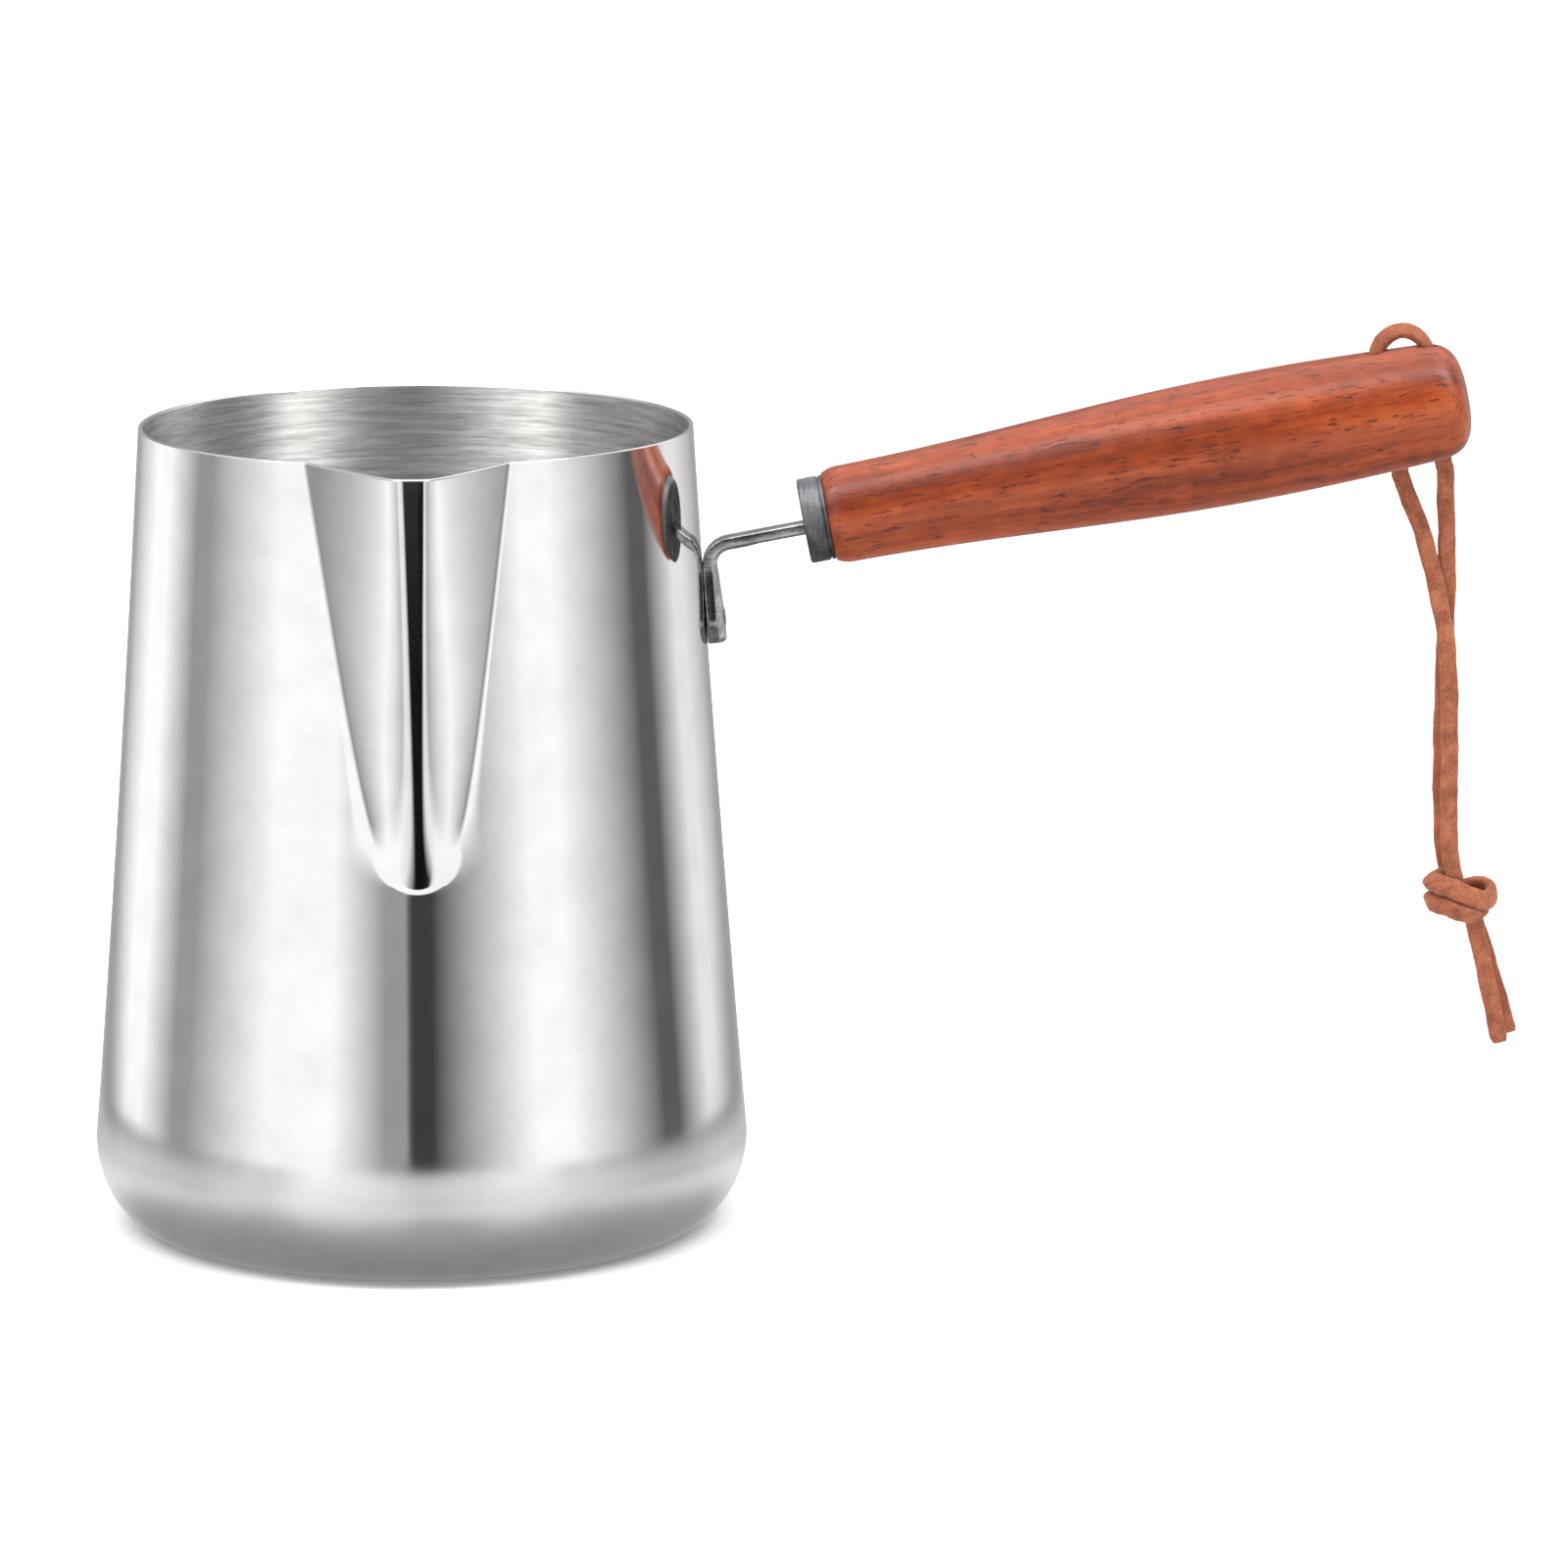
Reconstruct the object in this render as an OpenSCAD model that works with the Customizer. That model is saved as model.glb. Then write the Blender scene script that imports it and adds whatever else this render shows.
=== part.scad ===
// Coffee pot in polished stainless steel: a drawn pot that narrows towards its rim, a pressed
// V-shaped pouring spout at the front (-Y), and a side handle along +X. The handle is a flat
// steel strap on the wall, a ferrule and a turned wooden grip. A suede lace passes through two
// cross holes near the end of the grip, loops over its top and hangs below it, knotted.
// Millimetres, +Z up, origin at the centre of the pot's flat base.

/* [Pot] */
// Height of the pot from base to rim
pot_h = 123; // [105:1:135]
// Largest outer radius, low on the wall
belly_r = 50; // [47:0.5:53]
// Outer radius at the rim
rim_r = 42; // [40:0.5:44]
// Thickness of the steel sheet
sheet = 0.8; // [0.6:0.1:1.2]
// Height of the rounded corner at the base
corner_h = 13.4; // [10:0.2:16]
// Width of the rounded corner at the base
corner_w = 9.6; // [8:0.2:12]
// How far the wall bows inwards halfway up
wall_bow = 0.35; // [0:0.05:1]

/* [Spout] */
// How far the lip stands out past the rim
spout_out = 14.1; // [10:0.1:17]
// Half width of the spout where it leaves the rim
spout_half = 14.9; // [13:0.1:17]
// Half width of the spout above its rounded foot
spout_foot_half = 7.6; // [6:0.1:9]
// Height at which the spout's crease meets the wall
spout_foot_z = 60; // [50:1:75]
// Softness of the crease
crease = 2.5; // [1.5:0.1:4]
// Half width of the flat nose at the lip, which narrows to nothing at the foot
lip_flat = 1.4; // [0:0.1:3]

/* [Handle] */
// Height of the middle of the strap's round end
paddle_z = 92.9; // [88:0.1:94]
// Width of the strap's round end
paddle_w = 7.8; // [6:0.1:10]
// Width of the strap above its round end
strap_w = 3.8; // [3:0.1:5]
// Thickness of the strap
strap_t = 1.8; // [1.5:0.1:2.2]
// Upward tilt of the handle in degrees
handle_tilt = 10.75; // [6:0.25:12]
// Diameter of the ferrule
ferrule_d = 13; // [12:0.1:13.3]
// Length of the ferrule
ferrule_l = 3.8; // [3:0.1:5]
// Length of the wooden grip
grip_l = 98.7; // [92:0.1:104]
// Radius of the grip behind the ferrule
grip_r = 7.4; // [7:0.1:8]
// How much the grip's radius swells along its length
grip_swell = 2.35; // [1.5:0.05:2.6]

/* [Lace] */
// Diameter of the lace as a round cord
lace_d = 2.4; // [2:0.1:2.5]
// Diameter of the two cross holes in the grip
lace_hole_d = 3.2; // [3:0.1:3.6]
// Distance between the two cross holes
lace_pitch = 7.7; // [6.5:0.1:8]

/* [Hidden] */
$fn = 96;

steel = "silver";
wood = "sienna";
suede = "rosybrown";

// --- Pot profile
foot_r = belly_r - corner_w;
// How far a cut runs past what it cuts
through = 1;
corner_steps = 10;
side_steps = 8;

function side_share(z) = (z - corner_h) / (pot_h - corner_h);
function side_r(z) = belly_r
    + (rim_r - belly_r) * side_share(z)
    - 4 * wall_bow * side_share(z) * (1 - side_share(z));

// One side of the pot's section, shrunk by an inset that leaves the rim at its height
function profile(inset) = concat(
    [[0, inset]],
    [for (i = [0 : corner_steps])
        let (a = 90 * i / corner_steps)
        [foot_r + (corner_w - inset) * sin(a), corner_h - (corner_h - inset) * cos(a)]],
    [for (i = [1 : side_steps])
        let (z = corner_h + (pot_h - corner_h) * i / side_steps)
        [side_r(z) - inset, z]]
);

// --- Spout section at a height: two flanks that meet in a soft crease
spout_round_z = spout_foot_z + spout_foot_half;
spout_rows = 26;
spout_cols = 20;
spout_first_z = spout_foot_z + 0.3;
spout_weld = 0.6;
spout_row_crowd = 1.3;
notch_steps = 20;
notch_lift = 2;
notch_depth = [30, 70];

function spout_proud(z) = spout_out * (z - spout_foot_z) / (pot_h - spout_foot_z);
function spout_span(z) = z >= spout_round_z
    ? spout_foot_half + (spout_half - spout_foot_half) * (z - spout_round_z) / (pot_h - spout_round_z)
    : sqrt(pow(spout_foot_half, 2) - pow(spout_round_z - z, 2));
function off_nose(x, z) = max(0, abs(x) - lip_flat * spout_proud(z) / spout_out);
function flank_run(x, z) = norm([off_nose(x, z), crease]) - crease;
function flank_slope(z) = let (c = spout_span(z), r = side_r(z))
    (r + spout_proud(z) - sqrt(r * r - c * c)) / flank_run(c, z);
function flank_y(x, z) = flank_slope(z) * flank_run(x, z) - side_r(z) - spout_proud(z);
function flank_grade(x, z) = flank_slope(z) * off_nose(x, z) / norm([off_nose(x, z), crease]);
function flank_depth(x, z) = sheet * norm([1, flank_grade(x, z)]);
function spout_row_z(i) = spout_first_z
    + (pot_h - spout_first_z) * pow(i / spout_rows, spout_row_crowd);

// --- Handle: a straight axis in the XZ plane that starts at the wood's front face
grip_x = 62.45;
grip_z = 108.55;
tang_l = 42;
bar_drop = 0.9;
bend_r = 3.6;
wall_lean = atan((belly_r - rim_r) / (pot_h - corner_h));
wall_touch = 0.02;
paddle_edge = 0.3;
neck_edge = 0.2;
paddle_x = side_r(paddle_z) + wall_touch;
neck_h = 8;
paddle_root = paddle_w - 2 * paddle_edge;
neck_root = strap_w - 2 * neck_edge;
coined = 0.05;
bend_steps = 12;
strap_low = 2;
bar_angle = 90 + wall_lean - handle_tilt;
bar_start = [grip_x + bar_drop * sin(handle_tilt), grip_z - bar_drop * cos(handle_tilt)];
// Height along the wall at which the neck's middle line meets the bar's middle line
strap_mid = strap_t / 2;
paddle_mid = [paddle_x + strap_mid * cos(wall_lean), paddle_z + strap_mid * sin(wall_lean)];
neck_dir = [-sin(wall_lean), cos(wall_lean)];
bar_dir = [cos(handle_tilt), sin(handle_tilt)];
corner_gap = bar_start - paddle_mid;
corner_cross = neck_dir[0] * bar_dir[1] - neck_dir[1] * bar_dir[0];
neck_len = (corner_gap[0] * bar_dir[1] - corner_gap[1] * bar_dir[0]) / corner_cross;
bar_len = -(corner_gap[0] * neck_dir[1] - corner_gap[1] * neck_dir[0]) / corner_cross;
bend_reach = bend_r * tan(bar_angle / 2);
neck_top = neck_len - bend_reach;
rivet_d = 2.4;
rivet_head_d = 3.4;
rivet_head_h = 0.5;
rivet_inner_d = 5;
rivet_inner_h = 0.7;
rivet_bore_l = 12;
// Gap that the flat inner head leaves where the wall curves away from it
inner_gap = 0.1;

// --- Ferrule and grip
spigot_d = 11;
spigot_l = 2.8;
ferrule_front = 1;
tang_bore_d = 4.4;
tang_bore_l = tang_l + 2;
nose_r = 6.7;
nose_l = 2.4;
swell_half = 66;
tip_start = 91;
tip_power = 4;
nose_steps = 4;
tip_steps = 14;
belly_steps = 24;

function belly(s) = grip_r + grip_swell * (1 - cos(180 * s / swell_half)) / 2;
function tip_share(s) = (s - tip_start) / (grip_l - tip_start);
function grip_radius(s) = s < nose_l
    ? nose_r + (belly(nose_l) - nose_r) * sin(90 * s / nose_l)
    : belly(s) * (s > tip_start ? pow(1 - pow(min(1, tip_share(s)), tip_power), 1 / 3) : 1);

// --- Lace
lace_hole_s = 86.2;
lace_r = lace_d / 2;
lace_sides = 8;
pivot_drop = 10.9;
cross_bore_l = 22;
bight_foot = 9;
bight_foot_back = 8.4;
bight_low = 7.8;
bight_steps = 8;
strand_start = 0.6;

// A place on the handle: s along its axis from the wood's front face, r across it upwards
function on_handle(s, r) = [
    grip_x + s * cos(handle_tilt) - r * sin(handle_tilt),
    0,
    grip_z + s * sin(handle_tilt) + r * cos(handle_tilt)
];

bight_mid = lace_hole_s + lace_pitch / 2;
bight_route = concat(
    [on_handle(lace_hole_s, -bight_foot), on_handle(lace_hole_s, 0)],
    [for (i = [0 : bight_steps])
        let (a = 180 - 180 * i / bight_steps)
        on_handle(bight_mid + lace_pitch / 2 * cos(a), bight_low + lace_pitch / 2 * sin(a))],
    [on_handle(lace_hole_s + lace_pitch, 0), on_handle(lace_hole_s + lace_pitch, -bight_foot_back)]
);

// The two hanging strands, from below their holes to the knot
front_route = [
    on_handle(lace_hole_s, -pivot_drop),
    [150.6, -0.1, 110.4],
    [152.4, -0.2, 105.8],
    [153.7, -0.5, 101.2],
    [154.8, -0.9, 96.4],
    [155.9, -1.2, 91.4],
    [156.5, -1.35, 86.4],
    [156.8, -1.35, 81.0],
    [156.9, -1.35, 75.6],
    [157.0, -1.35, 70.2],
    [157.0, -1.35, 64.8],
    [157.1, -1.35, 59.4],
    [157.6, -1.35, 54.4],
    [158.6, -1.35, 50.4]
];
back_route = [
    on_handle(lace_hole_s + lace_pitch, -pivot_drop),
    [156.9, 0.1, 110.8],
    [157.1, 0.2, 106.0],
    [157.3, 0.5, 101.2],
    [157.4, 0.9, 96.4],
    [157.3, 1.2, 91.4],
    [157.2, 1.35, 86.4],
    [157.1, 1.35, 81.0],
    [157.0, 1.35, 75.6],
    [157.0, 1.35, 70.2],
    [157.1, 1.35, 64.8],
    [157.3, 1.35, 59.4],
    [157.9, 1.35, 54.4],
    [158.9, 1.35, 50.4]
];

// The knot and the two cut ends below it
knot_at = [159.5, 0, 49.4];
knot_half = 5.5;
knot_r = 3.9;
knot_steps = 10;
front_tail_route = [
    [160.4, -1.35, 48.4],
    [161.4, -1.35, 44.4],
    [162.6, -1.35, 39.4],
    [163.7, -1.35, 34.4],
    [164.7, -1.35, 29.8],
    [165.4, -1.35, 26.6]
];
back_tail_route = [
    [161.6, 1.35, 48.4],
    [162.9, 1.35, 44.4],
    [164.5, 1.35, 39.4],
    [166.0, 1.35, 34.6],
    [167.3, 1.35, 30.2],
    [168.0, 1.35, 27.8]
];

// --- Sweeping a round tube along a route that stays close to the XZ plane
function unit(v) = v / norm(v);
function heading(route, i) = unit(route[min(i + 1, len(route) - 1)] - route[max(i - 1, 0)]);
function ring(at, along, r) = let (side = unit(cross(along, [0, 1, 0])), other = cross(along, side))
    [for (k = [0 : lace_sides - 1])
        at + r * (cos(360 * k / lace_sides) * side + sin(360 * k / lace_sides) * other)];

module tube(route, r, first_r) {
    count = len(route);
    points = [
        for (i = [0 : count - 1])
            each ring(route[i], heading(route, i), i == 0 ? first_r : r)
    ];
    walls = [
        for (i = [0 : count - 2], k = [0 : lace_sides - 1])
            let (a = i * lace_sides, n = (k + 1) % lace_sides)
            [a + k, a + n, a + lace_sides + n, a + lace_sides + k]
    ];
    near_end = [for (k = [lace_sides - 1 : -1 : 0]) k];
    far_end = [for (k = [0 : lace_sides - 1]) (count - 1) * lace_sides + k];
    polyhedron(points, concat([near_end], walls, [far_end]), convexity = 4);
}

// --- Sub-parts
module along_handle() {
    translate([grip_x, 0, grip_z])
        rotate([0, 90 - handle_tilt, 0])
            children();
}

module on_wall() {
    translate([paddle_x, 0, paddle_z])
        rotate([0, -wall_lean, 0])
            children();
}

// The notch in the front wall that the spout is welded over
module spout_notch() {
    low = spout_foot_z + notch_lift;
    outline = [
        for (i = [0 : notch_steps])
            let (z = low + (pot_h + through - low) * i / notch_steps)
            [spout_span(min(z, pot_h)) - spout_weld, z]
    ];
    mirrored = [for (i = [notch_steps : -1 : 0]) [-outline[i][0], outline[i][1]]];
    translate([0, -notch_depth[0], 0])
        rotate([90, 0, 0])
            linear_extrude(notch_depth[1] - notch_depth[0])
                polygon(concat(outline, mirrored));
}

module pot_body() {
    color(steel)
    difference() {
        rotate_extrude()
            polygon(concat(
                profile(0),
                [for (i = [len(profile(0)) - 1 : -1 : 0]) profile(sheet)[i]]
            ));
        spout_notch();
        on_wall()
            rotate([0, 90, 0])
                cylinder(h = rivet_bore_l, d = rivet_d, center = true);
    }
}

module pouring_spout() {
    per_row = spout_cols + 1;
    layer = per_row * (spout_rows + 1);
    outer = [
        for (i = [0 : spout_rows], k = [0 : spout_cols])
            let (z = spout_row_z(i), x = spout_span(z) * (2 * k / spout_cols - 1))
            [x, flank_y(x, z), z]
    ];
    inner = [for (p = outer) [p[0], p[1] + flank_depth(p[0], p[2]), p[2]]];
    outer_faces = [
        for (i = [0 : spout_rows - 1], k = [0 : spout_cols - 1])
            let (a = i * per_row + k)
            [a, a + per_row, a + per_row + 1, a + 1]
    ];
    inner_faces = [for (f = outer_faces) [f[3] + layer, f[2] + layer, f[1] + layer, f[0] + layer]];
    sides = [
        for (i = [0 : spout_rows - 1])
            let (a = i * per_row, b = a + spout_cols)
            each [[a, a + layer, a + per_row + layer, a + per_row],
                [b, b + per_row, b + per_row + layer, b + layer]]
    ];
    rims = [
        for (k = [0 : spout_cols - 1])
            let (b = spout_rows * per_row + k)
            each [[k, k + 1, k + 1 + layer, k + layer], [b, b + layer, b + 1 + layer, b + 1]]
    ];
    color(steel)
        polyhedron(
            concat(outer, inner),
            concat(outer_faces, inner_faces, sides, rims),
            convexity = 6
        );
}

// Side outline of the strap in the wall's frame: along the wall, over the bend, along the bar
function bend_point(r, i) = let (a = 180 - bar_angle * i / bend_steps)
    [strap_mid + bend_r + r * cos(a), neck_top + r * sin(a)];
function bar_point(along, across) = [
    strap_mid + bend_r * (1 - cos(bar_angle)) + along * sin(bar_angle) - across * cos(bar_angle),
    neck_top + bend_r * sin(bar_angle) + along * cos(bar_angle) + across * sin(bar_angle)
];
strap_outline = concat(
    [[0, strap_low], [strap_t, strap_low]],
    [for (i = [0 : bend_steps]) bend_point(bend_r - strap_mid, i)],
    [bar_point(bar_len - bend_reach + tang_l, -strap_mid)],
    [bar_point(bar_len - bend_reach + tang_l, strap_mid)],
    [for (i = [bend_steps : -1 : 0]) bend_point(bend_r + strap_mid, i)]
);

// Flat strap: round end and neck on the wall, a bend, the bar and its tang in the grip
module handle_arm() {
    color("gray")
    on_wall()
        difference() {
            union() {
                rotate([90, 0, 0])
                    linear_extrude(strap_w, center = true)
                        polygon(strap_outline);
                translate([coined, 0, 0])
                    rotate([90, 0, 90])
                        linear_extrude(strap_t - 2 * coined) {
                            circle(d = paddle_w);
                            polygon([
                                [-paddle_root / 2, 0], [paddle_root / 2, 0],
                                [neck_root / 2, neck_h], [-neck_root / 2, neck_h]
                            ]);
                        }
            }
            rotate([0, 90, 0])
                cylinder(h = rivet_bore_l, d = rivet_d, center = true);
        }
}

// Rivet through the strap's round end, with a wide flat head inside the pot
module arm_rivet() {
    color(steel)
    on_wall()
        rotate([0, 90, 0]) {
            translate([0, 0, -sheet - rivet_inner_h - inner_gap])
                cylinder(h = rivet_inner_h, d = rivet_inner_d);
            translate([0, 0, -sheet - 2 * inner_gap])
                cylinder(h = sheet + strap_t + 3 * inner_gap, d = rivet_d);
            translate([0, 0, strap_t + wall_touch])
                cylinder(h = rivet_head_h, d = rivet_head_d);
        }
}

module ferrule() {
    color("dimgray")
    difference() {
        along_handle()
            difference() {
                translate([0, 0, -ferrule_l])
                    cylinder(h = ferrule_l, d = ferrule_d);
                translate([0, 0, ferrule_front - ferrule_l])
                    cylinder(h = ferrule_l, d = spigot_d);
            }
        translate([grip_x, 0, grip_z])
            rotate([0, -handle_tilt, 0])
                translate([-ferrule_l - through, -strap_w / 2, -bar_drop - strap_mid])
                    cube([ferrule_l, strap_w, strap_t]);
    }
}

module grip() {
    body_profile = concat(
        [[0, 0]],
        [for (i = [0 : nose_steps]) [grip_radius(nose_l * i / nose_steps), nose_l * i / nose_steps]],
        [for (i = [1 : belly_steps])
            let (s = nose_l + (tip_start - nose_l) * i / belly_steps)
            [grip_radius(s), s]],
        [for (i = [1 : tip_steps])
            let (s = tip_start + (grip_l - tip_start) * sin(90 * i / tip_steps))
            [grip_radius(s), s]]
    );
    color(wood)
    difference() {
        along_handle() {
            rotate_extrude()
                polygon(body_profile);
            translate([0, 0, -spigot_l])
                cylinder(h = spigot_l + through, d = spigot_d);
        }
        along_handle()
            translate([bar_drop, 0, -spigot_l - through])
                cylinder(h = tang_bore_l + spigot_l + through, d = tang_bore_d);
        for (s = [lace_hole_s, lace_hole_s + lace_pitch])
            along_handle()
                translate([0, 0, s])
                    rotate([0, 90, 0])
                        cylinder(h = cross_bore_l, d = lace_hole_d, center = true);
    }
}

// The stretch of lace that the grip holds: through both holes and over the top
module lace_bight() {
    color(suede)
        tube(bight_route, lace_r, lace_r);
}

// The strands start as small round ends on the line about which the hanging loop swings
module lace_strand(route) {
    color(suede)
        tube(route, lace_r, lace_r * strand_start);
}

module lace_strand_front() {
    lace_strand(front_route);
}

module lace_strand_back() {
    lace_strand(back_route);
}

module lace_knot() {
    color(suede)
        translate(knot_at)
            rotate([0, 90, 0])
                rotate_extrude()
                    polygon([
                        for (i = [0 : knot_steps])
                            let (a = 180 * i / knot_steps - 90)
                            [knot_r * cos(a), knot_half * sin(a)]
                    ]);
}

module lace_tail_front() {
    color(suede)
        tube(front_tail_route, lace_r, lace_r);
}

module lace_tail_back() {
    color(suede)
        tube(back_tail_route, lace_r, lace_r);
}

pot_body();
pouring_spout();
handle_arm();
arm_rivet();
ferrule();
grip();
lace_bight();
lace_strand_front();
lace_strand_back();
lace_knot();
lace_tail_front();
lace_tail_back();
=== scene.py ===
"""Looks of a polished steel coffee pot with a wooden side handle and a suede lace.

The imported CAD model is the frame: +Z is up, +X runs towards the handle's end and -Y towards
the pouring spout. Sizes in the classes are in millimetres and meshes are built in metres.
"""

import logging
import math
from dataclasses import dataclass, field
from enum import Enum
from typing import Callable, Iterable, Optional, Sequence

import bpy
import numpy as np
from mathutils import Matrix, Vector


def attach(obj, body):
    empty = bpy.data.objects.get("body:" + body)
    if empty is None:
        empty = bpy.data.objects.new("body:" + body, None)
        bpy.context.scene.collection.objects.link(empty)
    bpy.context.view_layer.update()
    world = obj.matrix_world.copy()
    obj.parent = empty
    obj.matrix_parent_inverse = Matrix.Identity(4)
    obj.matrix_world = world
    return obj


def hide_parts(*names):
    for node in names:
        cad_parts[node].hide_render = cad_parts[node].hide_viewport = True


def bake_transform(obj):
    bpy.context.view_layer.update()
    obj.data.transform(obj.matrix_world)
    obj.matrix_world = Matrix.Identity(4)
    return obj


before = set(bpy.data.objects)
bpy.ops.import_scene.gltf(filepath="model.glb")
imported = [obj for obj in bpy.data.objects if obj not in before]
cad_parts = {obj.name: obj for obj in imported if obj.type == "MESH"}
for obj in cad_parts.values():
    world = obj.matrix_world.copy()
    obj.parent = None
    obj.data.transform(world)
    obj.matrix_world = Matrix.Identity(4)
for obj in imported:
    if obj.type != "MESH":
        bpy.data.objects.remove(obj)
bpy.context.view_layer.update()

LOG = logging.getLogger("coffee_pot")
MM = 0.001
POT_BODY = "pot"
LACE_BODY = "lanyard"

Point = tuple[float, float, float]


# ---------------------------------------------------------------------------
# Small helpers
# ---------------------------------------------------------------------------


def linear(code: str) -> tuple[float, float, float, float]:
    """Turns an sRGB hex colour into linear RGBA.

    Args:
        code: colour such as "#A0522D".

    Returns:
        Red, green, blue and alpha as linear numbers.
    """
    parts = [int(code[i : i + 2], 16) / 255 for i in (1, 3, 5)]
    low = [c / 12.92 if c <= 0.04045 else ((c + 0.055) / 1.055) ** 2.4 for c in parts]
    return (low[0], low[1], low[2], 1.0)


def grey(tone: int) -> str:
    """The hex code of a neutral sRGB tone from 0 to 255."""
    return f"#{tone:02X}{tone:02X}{tone:02X}"


def add_node(
    tree: bpy.types.NodeTree,
    kind: str,
    settings: Optional[dict] = None,
    links: Optional[dict] = None,
    **values: object,
) -> bpy.types.Node:
    """Adds one node with its settings and links.

    Args:
        tree: the node tree it goes in.
        kind: Blender's type name of the node.
        settings: property names and their values.
        links: input names or numbers and the output sockets that feed them.
        values: input names, with _ for a space, and their fixed values.

    Returns:
        The new node.
    """
    node = tree.nodes.new(kind)
    for name, value in (settings or {}).items():
        setattr(node, name, value)
    for name, value in values.items():
        node.inputs[name.replace("_", " ")].default_value = value
    for name, socket in (links or {}).items():
        tree.links.new(socket, node.inputs[name])
    return node


def set_stops(ramp: bpy.types.Node, stops: Sequence[tuple[float, str]], mode: str = "LINEAR") -> None:
    """Gives a colour ramp its stops.

    Args:
        ramp: a ColorRamp node.
        stops: place from 0 to 1 and hex colour of each stop, in order.
        mode: how the ramp blends between stops.
    """
    band = ramp.color_ramp
    band.interpolation = mode
    while len(band.elements) > 1:
        band.elements.remove(band.elements[-1])
    band.elements[0].position = stops[0][0]
    band.elements[0].color = linear(stops[0][1])
    for place, code in stops[1:]:
        band.elements.new(place).color = linear(code)


@dataclass
class Patch:
    """Vertices, normals and faces gathered before they become one mesh."""

    points: list[Point] = field(default_factory=list)
    normals: list[Point] = field(default_factory=list)
    faces: list[tuple[int, ...]] = field(default_factory=list)
    finishes: list[int] = field(default_factory=list)

    def add_row(self, points: Iterable[Point], normals: Iterable[Point]) -> list[int]:
        """Adds one row of vertices.

        Args:
            points: their places.
            normals: their normals.

        Returns:
            The vertices' numbers.
        """
        first = len(self.points)
        self.points.extend(points)
        self.normals.extend(normals)
        return list(range(first, len(self.points)))

    def bridge(self, low: Sequence[int], high: Sequence[int], finish: int = 0, flip: bool = False) -> None:
        """Joins two rows of equal length with quads.

        Args:
            low: vertex numbers of the first row.
            high: vertex numbers of the second row.
            finish: material number of the new faces.
            flip: True turns the faces over.
        """
        for a, b, c, d in zip(low[:-1], low[1:], high[1:], high[:-1]):
            face = list(dict.fromkeys((a, b, c, d)))
            if len(face) > 2:
                self.faces.append(tuple(reversed(face)) if flip else tuple(face))
                self.finishes.append(finish)

    def fan(self, centre: int, row: Sequence[int], finish: int = 0, flip: bool = False) -> None:
        """Closes a row onto one vertex with triangles."""
        for a, b in zip(row[:-1], row[1:]):
            if a != b:
                self.faces.append((centre, b, a) if flip else (centre, a, b))
                self.finishes.append(finish)

    def twist(self, turn: Callable[[float], float]) -> None:
        """Turns every vertex about the Z axis by an angle that depends on its height."""
        for rows in (self.normals, self.points):
            for k, (x, y, _) in enumerate(rows):
                c, d = math.cos(turn(self.points[k][2])), math.sin(turn(self.points[k][2]))
                rows[k] = (x * c - y * d, x * d + y * c, rows[k][2])

    def to_object(
        self, name: str, materials: Sequence[bpy.types.Material], exact: bool = False
    ) -> bpy.types.Object:
        """Makes the mesh object.

        Args:
            name: name of the piece.
            materials: its materials, in the order of the faces' finishes.
            exact: True keeps the normals that were worked out with the points.

        Returns:
            The linked object, smooth shaded.
        """
        mesh = bpy.data.meshes.new(name)
        mesh.from_pydata([tuple(c * MM for c in p) for p in self.points], [], self.faces)
        for material in materials:
            mesh.materials.append(material)
        mesh.polygons.foreach_set("material_index", self.finishes)
        mesh.polygons.foreach_set("use_smooth", [True] * len(mesh.polygons))
        mesh.update()
        if exact:
            mesh.normals_split_custom_set_from_vertices([Vector(n).normalized() for n in self.normals])
        piece = bpy.data.objects.new(name, mesh)
        bpy.context.scene.collection.objects.link(piece)
        return piece


def settle(piece: bpy.types.Object, sharp_deg: Optional[float] = None) -> bpy.types.Object:
    """Applies a piece's modifiers and, if asked, marks its sharp edges.

    Args:
        piece: the mesh object.
        sharp_deg: edges with a larger angle between their faces become sharp.

    Returns:
        The same object with its final mesh.
    """
    graph = bpy.context.evaluated_depsgraph_get()
    final = bpy.data.meshes.new_from_object(piece.evaluated_get(graph))
    piece.modifiers.clear()
    piece.data = final
    if sharp_deg is not None:
        final.polygons.foreach_set("use_smooth", [True] * len(final.polygons))
        final.set_sharp_from_angle(angle=math.radians(sharp_deg))
    return piece


# ---------------------------------------------------------------------------
# Finishes
# ---------------------------------------------------------------------------


def new_material(name: str) -> tuple[bpy.types.Material, bpy.types.NodeTree, bpy.types.Node]:
    """A material with an empty tree, a shader and an output, joined.

    Args:
        name: name of the material.

    Returns:
        The material, its node tree and its shader.
    """
    material = bpy.data.materials.new(name)
    material.use_nodes = True
    tree = material.node_tree
    tree.nodes.clear()
    shader = add_node(tree, "ShaderNodeBsdfPrincipled")
    add_node(tree, "ShaderNodeOutputMaterial", links={"Surface": shader.outputs[0]})
    return material, tree, shader


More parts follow.
